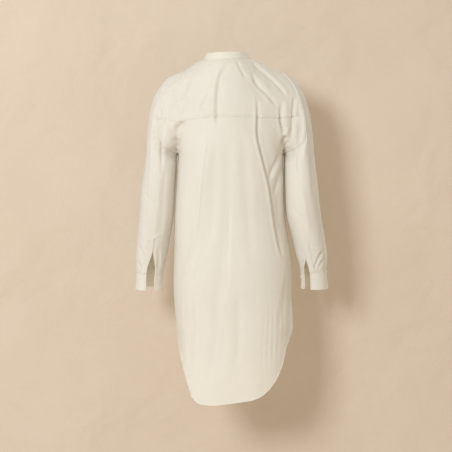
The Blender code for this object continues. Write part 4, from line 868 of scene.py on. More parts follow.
def woven_group():
    """Plain weave with slubs: gives a colour, a roughness and a bumped normal that vary over the cloth."""
    group = bpy.data.node_groups.new("woven_cotton", "ShaderNodeTree")
    for way, sockets in (("INPUT", (("Light", "Color"), ("Dark", "Color"), ("Slub", "Float"))),
                         ("OUTPUT", (("Color", "Color"), ("Roughness", "Float"), ("Normal", "Vector")))):
        for socket, kind in sockets:
            group.interface.new_socket(socket, in_out=way, socket_type="NodeSocket" + kind)
    nodes, links = group.nodes, group.links
    given, given_out = nodes.new("NodeGroupInput"), nodes.new("NodeGroupOutput")
    place = added(nodes, "TexCoord")

    def clouds(scale, detail):
        mapping = added(nodes, "Mapping", {"Scale": scale})
        texture = added(nodes, "TexNoise", {"Scale": 1.0, "Detail": detail})
        links.new(place.outputs["Object"], mapping.inputs["Vector"])
        links.new(mapping.outputs["Vector"], texture.inputs["Vector"])
        return texture.outputs["Fac"]

    def weighed(a, share_a, b, share_b):
        """The sum of two values, each by its share."""
        total = added(nodes, "Math", operation="ADD")
        for value, share, socket in ((a, share_a, total.inputs[0]), (b, share_b, total.inputs[1])):
            part = added(nodes, "Math", {1: share}, operation="MULTIPLY")
            links.new(value, part.inputs[0])
            links.new(part.outputs[0], socket)
        return total.outputs[0]
    warp = clouds((520.0, 520.0, 22.0), 3.0)
    weft = clouds((30.0, 30.0, 620.0), 3.0)
    patch = clouds((9.0, 9.0, 5.0), 4.0)
    threads = weighed(warp, 0.62, weft, 0.38)
    contrast = added(nodes, "MapRange", {"From Min": 0.36, "From Max": 0.64})
    links.new(weighed(threads, 0.6, patch, 0.4), contrast.inputs["Value"])
    tone = added(nodes, "Mix", data_type="RGBA")
    links.new(contrast.outputs["Result"], tone.inputs["Factor"])
    links.new(given.outputs["Dark"], tone.inputs["A"])
    links.new(given.outputs["Light"], tone.inputs["B"])
    links.new(tone.outputs["Result"], given_out.inputs["Color"])
    rough = added(nodes, "Math", {1: 0.16, 2: 0.74}, operation="MULTIPLY_ADD")
    links.new(threads, rough.inputs[0])
    links.new(rough.outputs[0], given_out.inputs["Roughness"])
    bump = added(nodes, "Bump", {"Distance": 0.0004})
    links.new(given.outputs["Slub"], bump.inputs["Strength"])
    links.new(threads, bump.inputs["Height"])
    links.new(bump.outputs["Normal"], given_out.inputs["Normal"])
    return group


weave = woven_group()
THROUGH = 0.30            # share of the light that goes on through a face of the cloth, tinted
THROUGH_COLOUR = (0.97, 0.92, 0.77)


def cloth_material(name, light, dark, slub):
    """Light cotton poplin: a weave of its own tone, soft sheen on the fibres, light passes through."""
    material = plain(name, light, 0.85)
    nodes, links = material.node_tree.nodes, material.node_tree.links
    shader = nodes["Principled BSDF"]
    cloth = nodes.new("ShaderNodeGroup")
    cloth.node_tree = weave
    cloth.inputs["Light"].default_value = (*light, 1)
    cloth.inputs["Dark"].default_value = (*dark, 1)
    cloth.inputs["Slub"].default_value = slub
    links.new(cloth.outputs["Color"], shader.inputs["Base Color"])
    links.new(cloth.outputs["Roughness"], shader.inputs["Roughness"])
    links.new(cloth.outputs["Normal"], shader.inputs["Normal"])
    shader.inputs["Sheen Weight"].default_value = 0.15
    shader.inputs["Sheen Roughness"].default_value = 0.5
    passing = added(nodes, "BsdfTranslucent", {"Color": (*THROUGH_COLOUR, 1)})
    both = added(nodes, "MixShader", {"Fac": THROUGH})
    links.new(shader.outputs["BSDF"], both.inputs[1])
    links.new(passing.outputs["BSDF"], both.inputs[2])
    links.new(both.outputs["Shader"], nodes["Material Output"].inputs["Surface"])
    return material


cotton = cloth_material("cotton_poplin", (0.95, 0.93, 0.885), (0.90, 0.875, 0.82), 0.35)
thread = cloth_material("sewing_thread", (0.97, 0.955, 0.90), (0.90, 0.875, 0.80), 0.5)


def dressed(piece, node=None):
    """A piece that rides on the dress, and may stand for a CAD node."""
    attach(piece, "root")
    if node:
        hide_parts(node)


def sewn(piece, node, stitches, rows):
    """A sheet put in the place of its node, with its rows of stitches."""
    dressed(piece, node)
    threads = stitched(stitches, rows)
    dressed(threads)


back_plain, back_out = finer(back_upper_spots() + back_lower_spots())
back_points = pressed(back_plain, back_out)
back_normals = facing(back_points, back_out)
underarm_row = row_at(back_plain[:, 0], UNDERARM_DROP)
relief = np.zeros(back_points.shape[:2])
band(relief, back_points, "first_row", Strip(0.0, 0.0, 0.0010), seed=1)
side_parts = []
for border, edge, side, seed in (("first_column", 0, RIGHT, 2), ("last_column", -1, LEFT, 3)):
    side_row = row_at(back_plain[:, edge], SIDE_END[side])
    arm, seam, tail = slice(0, underarm_row), slice(underarm_row, side_row), slice(side_row, None)
    band(relief, back_points, border, FELLED, arm, seed)
    band(relief, back_points, border, SIDE_SEAM, seam, seed + 2)
    band(relief, back_points, border, HEM, tail, seed + 4)
    band(relief, back_points, border, HEM_ROLL, tail)
    side_parts += [(border, FELLED_ROWS, arm), (border, SIDE_ROWS, seam), (border, HEM_ROWS, tail)]
band(relief, back_points, "last_row", HEM, seed=8)
band(relief, back_points, "last_row", HEM_ROLL)
outer, inner = raised(back_points, back_normals, relief)
rows = thread_lines(outer, back_normals, "last_row", HEM_ROWS)
for border, distances, part in side_parts:
    rows += thread_lines(outer, back_normals, border, distances, part)
sewn(shell("back_panel", tucked(outer, back_normals), tucked(inner, back_normals)), "back",
     "back_stitches", rows)

# ---------------------------------------------------------------- the yoke
# One straight-grained panel over the shoulder blades, from the neckline and the shoulder seams to
# the yoke seam. Its lower edge is folded under and stitched down over the back.
NECK_HALF, NECK_SIDE = 0.0665, 0.0105     # half its width, and how far its middle lies to the left
NECK_BACK, NECK_FRONT = 0.062, 0.063      # how far it reaches back and forward
NECK_MIDDLE = 0.006       # and how far back its sides lie
SHOULDER_TURN, SHOULDER_SETTLES = -14.0, 0.4          # before the crest, from this share of its way on
NECK_CLEAR = 0.073        # the shoulder seams start this far off the middle of the neck
YOKE_HEM, YOKE_FELLED = Strip(0.0076, 0.0013, 0.0016), Strip(0.0085, 0.0015, 0.0012)
SHOULDER_SEAM, SHOULDER_ROWS = Strip(0.0068, 0.0006, 0.0004), (0.0016,)
YOKE_HEM_ROWS = (0.0017, 0.0066)


def neck_place(angle):
    """Where the neckline crosses the arches; angle 0 is the middle of the back, 90 the left side."""
    x = NECK_SIDE + NECK_HALF * math.sin(math.radians(angle))
    cosine = math.cos(math.radians(angle))
    face = 1 if cosine >= 0 else -1
    y = NECK_MIDDLE + (NECK_BACK - NECK_MIDDLE if face > 0 else NECK_FRONT + NECK_MIDDLE) * cosine
    arch, bow = arch_at(x, face)
    share = min(max((y - arch.crest_y) / (arch.wall - arch.crest_y), 0.0), 1.0)
    return x, face * math.degrees(math.asin(share ** (1 / bow)))


def shoulder_place(side, way):
    """Along a shoulder seam, from the neck point (way 0) to the armhole."""
    x = mix(NECK_HALF + side * NECK_SIDE, sided(YOKE_ARMHOLE.at(0.0), side), way)
    return side * x, SHOULDER_TURN * smooth(way / SHOULDER_SETTLES)


def yoke_armhole_place(side, way):
    """From the shoulder seam (way 0), over the crest, to the yoke seam; an x and a turn."""
    row, last = YOKE_ARMHOLE.at(way), YOKE_ARMHOLE.at(1.0)
    turn = sided_turn(row, side)
    if turn > 0:
        corner = arch_turn(sided(last, side), yoke_seam_place(side)[1], 1)
        turn *= corner / sided_turn(last, side)
    return side * sided(row, side), turn


def yoke_spots():
    """The yoke from the neckline and the shoulder seams down to the yoke seam."""
    def upper(u):
        c = 2 * u - 1
        if abs(c) <= BELOW_NECK:
            return neck_place(90.0 * c / BELOW_NECK)
        return shoulder_place(LEFT if c > 0 else RIGHT, (abs(c) - BELOW_NECK) / (1 - BELOW_NECK))

    def lower(u):
        x, drop = yoke_seam_place(2 * u - 1)
        return x, arch_turn(x, drop, 1)
    rows = []
    for v in steps(ARMHOLE_CELLS["yoke"]):
        places = [coons(upper, lower, lambda way: yoke_armhole_place(RIGHT, way),
                        lambda way: yoke_armhole_place(LEFT, way), (c + 1) / 2, v)
                  for c in BACK_COLUMNS]
        rows.append([Spot(*body_frame(place, "arch")) for place in places])
    return rows


yoke_plain, yoke_out = finer(yoke_spots(), column_corners=(SHOULDER_CELLS, SHOULDER_CELLS + 2 * NECK_CELLS))
yoke_points = pressed(yoke_plain, yoke_out)
yoke_normals = facing(yoke_points, yoke_out)
relief = np.zeros(yoke_points.shape[:2])
band(relief, yoke_points, "last_row", YOKE_HEM, seed=11)
for border, seed in (("first_column", 12), ("last_column", 13)):
    band(relief, yoke_points, border, YOKE_FELLED, seed=seed)
off_neck = np.hypot(yoke_points[0, :, 0] - NECK_SIDE, yoke_points[0, :, 1]) > NECK_CLEAR
band(relief, yoke_points, "first_row", SHOULDER_SEAM, off_neck, 14)
outer, inner = raised(yoke_points, yoke_normals, relief)
rows = thread_lines(outer, yoke_normals, "last_row", YOKE_HEM_ROWS)
for border in ("first_column", "last_column"):
    rows += thread_lines(outer, yoke_normals, border, FELLED_ROWS)
neck_starts, neck_ends = int(np.argmin(off_neck)), len(off_neck) - int(np.argmin(off_neck[::-1]))
for part in (slice(0, neck_starts), slice(neck_ends, None)):
    rows += thread_lines(outer, yoke_normals, "first_row", SHOULDER_ROWS, part)
sewn(shell("yoke_panel", outer, inner), "yoke", "yoke_stitches", rows)

# ---------------------------------------------------------------- the fronts
# Two panels that lap at the middle, right over left. The edge of the right one carries a stitched
# placket; both end in the same rolled, curved hem as the back.
FRONT_NECK_CELLS = 6
LAP = 0.015               # each front runs this far past the middle
LAP_DEPTH, LAP_RAMP, LAP_CLEAR = 0.0026, 0.030, 0.004     # the under one sinks so far, and within this
SIDE_NAMES = {LEFT: "left", RIGHT: "right"}
FRONT_ARMHOLE = Table("way left right drop",
                      (0.00, 0.1310, 0.1560, 0.040),
                      (0.12, 0.1380, 0.1580, 0.072),
                      (0.30, 0.1450, 0.1580, 0.112),
                      (0.50, 0.1500, 0.1570, 0.160),
                      (0.70, 0.1525, 0.1555, 0.208),
                      (0.88, 0.1525, 0.1535, 0.250),
                      (1.00, 0.1500, 0.1500, 0.272))
FRONT_HEM_SIDES = Table("way left_turn left right_turn right",
                        (0.00, 90.0, 0.798, 90.0, 0.769),
                        (0.30, 68.0, 0.824, 62.0, 0.800),
                        (0.60, 56.0, 0.858, 51.0, 0.838),
                        (1.00, 43.0, 0.900, 38.0, 0.886))
FRONT_HEM_BOTTOM = 0.925
FRONT_HEM_RISES = 3       # it rises to the side with this power of the way there


def lap_turn(half, square):
    """How far the lap of a front runs past the middle, as a turn round a ring."""
    return math.degrees(math.asin((LAP / half) ** (square / 2)))


def neck_lap_angle():
    return 180.0 + math.degrees(math.asin(LAP / NECK_HALF))


def front_armhole_place(side, way):
    """From the shoulder seam (way 0) to the underarm, an x and a turn."""
    if way == 0:
        return shoulder_place(side, 1.0)
    row = FRONT_ARMHOLE.at(way)
    start = -arch_point(*shoulder_place(side, 1.0)).z
    table_start = FRONT_ARMHOLE.at(0.0).drop
    share = (row.drop - table_start) / (UNDERARM_DROP - table_start)
    x = sided(row, side)
    return side * x, arch_turn(x, mix(start, UNDERARM_DROP, share), -1)


def front_spots(side):
    """One front, columns from its edge past the middle to the armhole and the side seam."""
    cells = FRONT_NECK_CELLS + SHOULDER_CELLS
    lap_angle = neck_lap_angle() - 180.0

    def across(column, near, last, end=cells):
        """Columns at the edge, the middle and the far line of the lap, then evenly."""
        return near * (column - 1) if column <= 2 else mix(near, last, (column - 2) / (end - 2))

    def upper(u):
        column = u * cells
        if column <= FRONT_NECK_CELLS:
            return neck_place(side * (180.0 - across(column, lap_angle, 90.0, FRONT_NECK_CELLS)))
        return shoulder_place(side, (column - FRONT_NECK_CELLS) / SHOULDER_CELLS)

    def ring_turn(column, drop, last=90.0):
        ring = RINGS.at(drop)
        return side * (180.0 - across(column, lap_turn(ring.half, ring.square), last))

    def underarm_point(u):
        return ring_point(ring_turn(u * cells, UNDERARM_DROP), UNDERARM_DROP)

    def lower(u):
        x = underarm_point(u).x
        return x, arch_turn(x, UNDERARM_DROP, -1)

    def edge(v):
        return mix(np.array(upper(0)), np.array(lower(0)), v)

    def place_at(u, v):
        return coons(upper, lower, edge, lambda way: front_armhole_place(side, way), u, v)
    rows = []
    for v in armhole_ways("front")[:-1]:
        lap = [0.0, 1 / cells]
        rest = evened([c / cells for c in range(2, cells + 1)], lambda u: place_at(u, v), underarm_point, v)
        rows.append([Spot(*body_frame(place_at(u, v), "arch")) for u in lap + rest])
    middle_end = (SIDE_END[LEFT] + SIDE_END[RIGHT]) / 2
    for v in steps(SIDE_CELLS):
        drops = [mix(UNDERARM_DROP, mix(middle_end, SIDE_END[side], c / cells), v) for c in range(cells + 1)]
        rows.append([Spot(*body_frame((ring_turn(c, drop), drop), "ring")) for c, drop in enumerate(drops)])
    corner = FRONT_HEM_SIDES.at(1.0)
    for v in steps(TAIL_CELLS)[1:]:
        rise = FRONT_HEM_SIDES.at(v)
        row = []
        for c in range(cells + 1):
            top = mix(middle_end, SIDE_END[side], c / cells)
            bottom = mix(FRONT_HEM_BOTTOM, sided(corner, side), (c / cells) ** FRONT_HEM_RISES)
            straight = mix(SIDE_END[side], sided(corner, side), v)
            drop = mix(top, bottom, v) + (sided(rise, side) - straight) * c / cells
            row.append(Spot(*body_frame((ring_turn(c, drop, sided_turn(rise, side)), drop), "ring")))
        rows.append(row)
    return rows


def lapped(points, normals):
    """The middle edge of the under front sinks below the upper one."""
    ramp = np.clip((LAP + LAP_CLEAR + LAP_RAMP - points[..., 0]) / LAP_RAMP, 0, 1)
    return points - normals * (LAP_DEPTH * eased(ramp))[..., None]


front_grids = {}
for side in (LEFT, RIGHT):
    name = "front_" + SIDE_NAMES[side]
    front_plain, out = finer(front_spots(side), column_corners=(FRONT_NECK_CELLS,))
    points = pressed(front_plain, out)
    if side == LEFT:
        points = lapped(points, out)
    normals = facing(points, out)
    arm = slice(0, row_at(front_plain[:, -1], UNDERARM_DROP))
    tail = slice(row_at(front_plain[:, -1], SIDE_END[side]), None)
    relief = np.zeros(points.shape[:2])
    band(relief, points, "last_column", FELLED, arm, 21)
    band(relief, points, "last_column", HEM, tail, 22)
    band(relief, points, "last_column", HEM_ROLL, tail)
    band(relief, points, "last_row", HEM, seed=23 + side)
    band(relief, points, "last_row", HEM_ROLL)
    outer, inner = raised(points, normals, relief)
    front_grids[side] = (outer, normals)
    rows = (thread_lines(outer, normals, "last_row", HEM_ROWS)
            + thread_lines(outer, normals, "last_column", FELLED_ROWS, arm)
            + thread_lines(outer, normals, "last_column", HEM_ROWS, tail))
    sewn(shell(name + "_panel", tucked(outer, normals), tucked(inner, normals)), name,
         name + "_stitches", rows)

# ---------------------------------------------------------------- the front placket
# A straight band of two layers down the edge of the right front, stitched along both sides. The
# closed buttons hide its buttonholes.
LIFT = 0.0003             # how far a band lies off the panel under it
PLACKET_THICK = 0.0013
PLACKET_MARGIN = 0.001    # a column this far past twice the lap still belongs to it
PLACKET_ROWS = {"first_column": (0.0020,), "last_column": (0.0020,)}
PLACKET_PUCKER = Strip(0.0055, 0.0, 0.0003)
outer, normals = front_grids[RIGHT]
columns = int((walked(outer, 1).mean(axis=0) <= 2 * LAP + PLACKET_MARGIN).sum())
strip, strip_normals = outer[2:, :columns], normals[2:, :columns]
relief = np.full(strip.shape[:2], LIFT + PLACKET_THICK)
band(relief, strip, "first_column", PLACKET_PUCKER, seed=31)
band(relief, strip, "last_column", PLACKET_PUCKER, seed=32)
outer = strip + strip_normals * relief[..., None]
rows = thread_rows(outer, strip_normals, PLACKET_ROWS)
sewn(shell("front_placket_band", outer, strip + strip_normals * LIFT), "front_placket",
     "front_placket_stitches", rows)

# ---------------------------------------------------------------- the collar band
# A narrow standing band of two layers with interlining, cut on a slight curve so that it tips in.
COLLAR_HEIGHT, COLLAR_LEAN, COLLAR_BACK_LEAN = 0.022, 0.55, 0.27
LEAN_STARTS, LEAN_TAKES = 15.0, 75.0      # it tips further in from this angle on, over this many degrees
UNDER_STARTS, UNDER_TAKES = 150.0, 18.0   # and its left end goes under from this angle on
COLLAR_COLUMNS = 170
# Its rows, by their distance below its top edge.
COLLAR_DOWN = (0.0, 0.0005, 0.0015, 0.004, 0.008, 0.012, 0.016, 0.0195, 0.0210, 0.0216, 0.022)
COLLAR_TOP_ROUND = (-0.0006, -0.0002)     # its two top rows lie in by this much
COLLAR_RIPPLE = 0.5       # share of the cloth's ripples
COLLAR_ROWS = {"first_row": (0.0025,), "last_row": (0.0018,)}
BAND = 0.0020             # thickness of a band of two layers with interlining
SEAM_GAP = 0.0003         # the band stands this far above the neckline
angles = np.linspace(-neck_lap_angle(), neck_lap_angle(), COLLAR_COLUMNS)
seam, ups, faces = [], [], []
for angle in angles:
    point, normal = body_frame(neck_place(angle), "arch")
    seam.append((*point, *normal))
    out = Vector((math.sin(math.radians(angle)), math.cos(math.radians(angle)), 0))
    lean = mix(COLLAR_BACK_LEAN, COLLAR_LEAN, smooth((abs(angle) - LEAN_STARTS) / LEAN_TAKES))
    up = (Vector((0, 0, 1)) - out * lean).normalized()
    ups.append(up)
    faces.append((out - up * out.dot(up)).normalized())
seam, ups, faces = np.array(seam)[None], np.array(ups), np.array(faces)
sunk = LAP_DEPTH * np.array([smooth((angle - UNDER_STARTS) / UNDER_TAKES) for angle in angles])
base = pressed(seam[..., :3], seam[..., 3:])[0] - faces * sunk[:, None]
collar = np.array([base + ups * (COLLAR_HEIGHT - down + SEAM_GAP) for down in COLLAR_DOWN])
collar = collar + faces * (rippled(collar) * COLLAR_RIPPLE)[..., None]
collar_normals = facing(collar, np.broadcast_to(faces, collar.shape))
edge = np.zeros((len(COLLAR_DOWN), 1, 1))
edge[:len(COLLAR_TOP_ROUND), 0, 0] = COLLAR_TOP_ROUND
outer = collar + collar_normals * edge
rows = thread_rows(outer, collar_normals, COLLAR_ROWS)
sewn(shell("collar_band_cloth", outer, collar - collar_normals * (BAND + edge)), "collar_band",
     "collar_stitches", rows)

# ---------------------------------------------------------------- the sleeves
# Each is one panel joined into a tube under the arm, felled into the armhole. It narrows to the cuff,
# where it is pleated, and is slit behind with a stitched placket along the outer edge of the slit.
SLEEVE_START = 0.305      # drop of the first ring round an arm
CUFF_HEIGHT = 0.050
PLACKET_TURN = 20.0       # degrees of the arm that a sleeve placket takes
SLEEVE_CELLS = {"cap": 7, "arm": 9, "slit": 3, "cuff": 3}
ARMS = {
    LEFT: Table("drop outer inner middle_y depth lean",
                (0.305, 0.2455, 0.1538, 0.000, 0.064, 0.0),
                (0.377, 0.2560, 0.1582, 0.002, 0.066, 0.0),
                (0.450, 0.2620, 0.1628, 0.000, 0.063, 0.01),
                (0.520, 0.2685, 0.1745, -0.007, 0.057, 0.04),
                (0.565, 0.2720, 0.1820, -0.013, 0.051, 0.07),
                (0.611, 0.2715, 0.1925, -0.018, 0.044, 0.10),
                (0.665, 0.2745, 0.1935, -0.024, 0.041, 0.10)),
    RIGHT: Table("drop outer inner middle_y depth lean",
                 (0.305, 0.2425, 0.1530, 0.000, 0.064, 0.0),
                 (0.377, 0.2515, 0.1548, 0.002, 0.066, 0.0),
                 (0.450, 0.2590, 0.1588, 0.000, 0.063, 0.01),
                 (0.520, 0.2710, 0.1785, -0.007, 0.057, 0.04),
                 (0.565, 0.2775, 0.1890, -0.013, 0.051, 0.07),
                 (0.611, 0.2760, 0.2025, -0.018, 0.044, 0.10),
                 (0.665, 0.2810, 0.2035, -0.024, 0.041, 0.10)),
}
ARM_SQUARE = 2.1          # how square the rings are: 2 is an ellipse
CAP_PULL = 0.80           # how strongly a sleeve comes down on its first ring
# How steeply and how strongly it leaves the armhole, and how closely it follows on from the body
# there, by where the armhole lies.
CAP_LEAVES = {
    LEFT: Table("drop slope pull follow",
                (0.036, 0.26, 1.38, 0.0), (0.080, 0.55, 1.10, 0.35), (0.120, 1.20, 0.75, 0.85),
                (0.180, 2.00, 0.65, 1.0), (0.215, 2.60, 0.80, 1.0)),
    RIGHT: Table("drop slope pull follow",
                 (0.046, 0.32, 0.95, 0.0), (0.080, 0.70, 0.80, 0.5), (0.120, 1.50, 0.62, 1.0),
                 (0.180, 2.80, 0.55, 1.0), (0.215, 3.00, 0.80, 1.0)),
}
CAP_TURNS = 0.215         # from this drop it turns toward the way it leaves the underarm
PIT_LEAN = 0.6            # and how far it leans out from the body at the underarm
CUFF_TOP = {LEFT: 0.6105, RIGHT: 0.6080}
# A slit: the drop of its top and of the placket's, where it faces (0 outward, 90 back), its gap.
Slit = namedtuple("Slit", "placket_top top facing cuff_facing half_gap")
SLITS = {LEFT: Slit(0.5155, 0.5430, 95.0, 97.0, 17.0),
         RIGHT: Slit(0.5255, 0.5650, 115.0, 125.0, 16.0)}
CORNER_TURN, CREST_TURN = 50.0, -12.0     # where the yoke's corners lead on the first arm ring
ARMHOLE_REACH, ARMHOLE_SINK = 0.0028, 0.0012      # how far a sleeve runs on under the body's, how deep
SLEEVE_SINK = 0.0004      # and how far it lies back along the seam itself
SLEEVE_PUCKERS = {"first_row": (Strip(0.0, 0.0, 0.0014), 41), "last_row": (Strip(0.0, 0.0, 0.0022), 43)}


def armhole_loop(side):
    """Places and arm turns round an armhole: underarm, back, yoke, front. Arm turn 0 faces out,
    90 back, 180 the body."""
    places = [("ring", (side * 90.0, UNDERARM_DROP))]
    for way in armhole_ways("back")[-2::-1]:
        x, drop = back_armhole_place(side, way)
        places.append(("arch", (x, arch_turn(x, drop, 1))))
    for way in steps(ARMHOLE_CELLS["yoke"])[1:]:
        places.append(("arch", yoke_armhole_place(side, 1 - way)))
    for way in armhole_ways("front")[1:-1]:
        places.append(("arch", front_armhole_place(side, way)))
    spots = [Spot(*body_frame(place, kind)) for kind, place in places]
    lengths = [(b.point - a.point).length for a, b in zip(spots, spots[1:] + spots[:1])]
    stops = [0, ARMHOLE_CELLS["back"], ARMHOLE_CELLS["back"] + ARMHOLE_CELLS["yoke"], len(spots)]
    ends = [180.0, CORNER_TURN, CREST_TURN, -180.0]
    turns = []
    for part in range(3):
        run = lengths[stops[part]:stops[part + 1]]
        done = 0.0
        for length in run:
            turns.append(mix(ends[part], ends[part + 1], done / sum(run)))
            done += length
    return spots, turns


def arm_point(side, turn, drop):
    """On a ring round an arm. The rings lean with the forearm, so their fronts lie higher."""
    arm = ARMS[side].at(drop)
    sine, cosine = math.sin(math.radians(turn)), math.cos(math.radians(turn))
    x = (arm.outer + arm.inner) / 2 + (arm.outer - arm.inner) / 2 * math.copysign(
        abs(cosine) ** (2 / ARM_SQUARE), cosine)
    reach = arm.depth * math.copysign(abs(sine) ** (2 / ARM_SQUARE), sine)
    return Vector((side * x, arm.middle_y + reach, -drop - arm.lean * reach))


def sleeve_grid(side):
    """Spots of a sleeve and its cuff, rows from the armhole to the end of the cuff, columns from
    the outer edge of the slit round the arm to its inner edge."""
    loop, loop_turns = armhole_loop(side)
    count = len(loop)
    slit = SLITS[side]
    first = min(range(count), key=lambda j: abs(loop_turns[j] - slit.facing))
    order = [(first + k) % count for k in range(count + 1)]
    wraps = [360.0 if first + k >= count else 0.0 for k in range(count + 1)]
    starts = [loop_turns[j] - wrap for j, wrap in zip(order, wraps)]

    def arm_turns(drop):
        share = smooth((drop - SLEEVE_START) / (slit.placket_top - SLEEVE_START))
        opened = smooth((drop - slit.top) / (CUFF_TOP[side] - slit.top))
        gap = slit.half_gap * opened
        facing = mix(slit.facing, slit.cuff_facing, opened)
        rest = (360.0 - 2 * gap - PLACKET_TURN) / (count - 1)
        even = [facing - gap] + [facing - gap - PLACKET_TURN - rest * k for k in range(count)]
        return [mix(a, b, share) for a, b in zip(starts, even)]

    def cap_point(s, j, turn):
        """On a line from the armhole to the first arm ring, which leaves and arrives smoothly."""
        start, normal = loop[j]
        end = arm_point(side, turn, SLEEVE_START)
        reach = (end - start).length
        low = smooth((-start.z - CAP_TURNS) / (UNDERARM_DROP - CAP_TURNS))
        leaves = CAP_LEAVES[side].at(-start.z)
        down_arm = Vector((side, 0, -leaves.slope)).lerp(Vector((side * PIT_LEAN, 0, -1)), low)
        away = (down_arm - normal * normal.dot(down_arm) * (1 - low) * leaves.follow).normalized()
        below = arm_point(side, turn, SLEEVE_START + STEP_DROP) - end
        leave, arrive = away * reach * leaves.pull, below.normalized() * reach * CAP_PULL
        return (start * (2 * s ** 3 - 3 * s ** 2 + 1) + end * (3 * s ** 2 - 2 * s ** 3)
                + leave * (s ** 3 - 2 * s ** 2 + s) + arrive * (s ** 3 - s ** 2))

    def normal_at(points, r, c):
        """The outward normal of a grid's point, from its four neighbours."""
        row, point = points[r], points[r][c]
        along = points[min(r + 1, len(points) - 1)][c] - points[r - 1][c]
        before = row[c - 1] if c else row[-2]
        after = row[c + 1] if c < count else row[1]
        normal = (after - before).cross(along).normalized()
        arm = ARMS[side].at(-point.z)
        middle = Vector((side * (arm.outer + arm.inner) / 2, arm.middle_y, point.z))
        return -normal if normal.dot(point - middle) < 0 else normal
    points = [[cap_point(s, j, turn) for j, turn in zip(order, starts)] for s in steps(SLEEVE_CELLS["cap"])]
    drops = [mix(SLEEVE_START, slit.placket_top, t) for t in steps(SLEEVE_CELLS["arm"] - 1)[1:]]
    drops += [mix(slit.top, CUFF_TOP[side], t) for t in steps(SLEEVE_CELLS["slit"])]
    drops += [CUFF_TOP[side] + CUFF_HEIGHT * t for t in steps(SLEEVE_CELLS["cuff"])[1:]]
    points += [[arm_point(side, turn, drop) for turn in arm_turns(drop)] for drop in drops]
    rows = [[Spot(point, loop[j].normal) for point, j in zip(points[0], order)]]
    for r in range(1, len(points)):
        rows.append([Spot(point, normal_at(points, r, c)) for c, point in enumerate(points[r])])
    return rows


def under_armhole(loop, level):
    """The row of a sleeve that goes in under the body's panels, from the sleeve's first row."""
    ahead = np.roll(loop[:-1], -1, axis=0) - np.roll(loop[:-1], 1, axis=0)
    ahead = np.concatenate((ahead, ahead[:1]))
    away = np.cross(level, ahead)
    away /= np.linalg.norm(away, axis=1)[:, None]
    away *= np.sign((away * (loop - loop.mean(axis=0))).sum(axis=1))[:, None]
    return loop + away * ARMHOLE_REACH - level * ARMHOLE_SINK


sleeve_grids = {}
for side in (LEFT, RIGHT):
    name = SIDE_NAMES[side]
    grid = sleeve_grid(side)
    cuff_row = len(grid) - 1 - SLEEVE_CELLS["cuff"]
    slit_drop = -grid[cuff_row - SLEEVE_CELLS["slit"]][0].point.z
    sleeve_plain, out = finer(grid[:cuff_row + 1], EDGE_STEPS[:-1], closed=True)
    slit_at = row_at(sleeve_plain[:, 0], slit_drop)
    points = pressed(sleeve_plain, out)
    points[:slit_at + 1, -1] = points[:slit_at + 1, 0]
    normals = facing(points, out, slit_at + 1)
    relief = np.zeros(points.shape[:2])
    for border, (puckers, seed) in SLEEVE_PUCKERS.items():
        band(relief, points, border, puckers, seed=seed)
    relief[0] -= SLEEVE_SINK
    outer = points + normals * relief[..., None]
    sleeve_grids[side] = (grid[cuff_row:], outer, normals)
    under = under_armhole(outer[0], out[0])
    piece = shell("sleeve_" + name + "_panel", np.insert(outer, 0, under, axis=0),
                  np.insert(outer - normals * CLOTH, 0, under - out[0] * CLOTH, axis=0), slit_at + 1)
    dressed(piece, "sleeve_" + name)

# ---------------------------------------------------------------- the cuffs and sleeve plackets
# A cuff is a straight band of two layers with interlining, open behind in line with the slit. The
# placket is a narrow folded strip down the outer edge of the slit.
CUFF_CELL, CUFF_LIFT = 0.0028, 0.0008     # its cells, and how far it lies off the sleeve's form
CUFF_RIPPLE = 0.6         # share of the cloth's ripples
CUFF_EDGE, CUFF_ROUND = Strip(0.0030, 0.0007, 0.0007), 0.0005
CUFF_ROWS = {"first_row": (0.0018,), "last_row": (0.0050,),
             "first_column": (0.0050,), "last_column": (0.0050,)}
STRIP_WIDE, STRIP_THICK = 0.0165, 0.0016  # the placket's
STRIP_ROWS = {"first_column": (0.0018,), "last_column": (0.0018,), "first_row": (0.0018, 0.0150)}
for side in (LEFT, RIGHT):
    name = SIDE_NAMES[side]
    cuff_spots, sleeve_outer, sleeve_normals = sleeve_grids[side]
    cuff_plain, out = finer(cuff_spots, cell=CUFF_CELL)
    points = cuff_plain + out * CUFF_LIFT + out * (rippled(cuff_plain) * CUFF_RIPPLE)[..., None]
    normals = facing(points, out)
    relief = np.zeros(points.shape[:2])
    for border in CUFF_ROWS:
        band(relief, points, border, CUFF_EDGE, seed=51)
    for edge in (relief[-1], relief[:, 0], relief[:, -1]):
        edge -= CUFF_ROUND
    outer = points + normals * relief[..., None]
    inner = points - normals * (BAND + relief)[..., None]
    cuff = "cuff_" + name
    sewn(shell(cuff + "_band", outer, inner), cuff, cuff + "_stitches",
         thread_rows(outer, normals, CUFF_ROWS))
    top = row_at(sleeve_outer[:, 0], SLITS[side].placket_top)
    columns = int((walked(sleeve_outer[top:], 1).mean(axis=0) <= STRIP_WIDE).sum())
    strip, strip_normals = sleeve_outer[top:-1, :columns], sleeve_normals[top:-1, :columns]
    outer = strip + strip_normals * (LIFT + STRIP_THICK)
    placket = "sleeve_placket_" + name
    sewn(shell(placket + "_band", outer, strip + strip_normals * LIFT), placket, placket + "_stitches",
         thread_rows(outer, strip_normals, STRIP_ROWS))

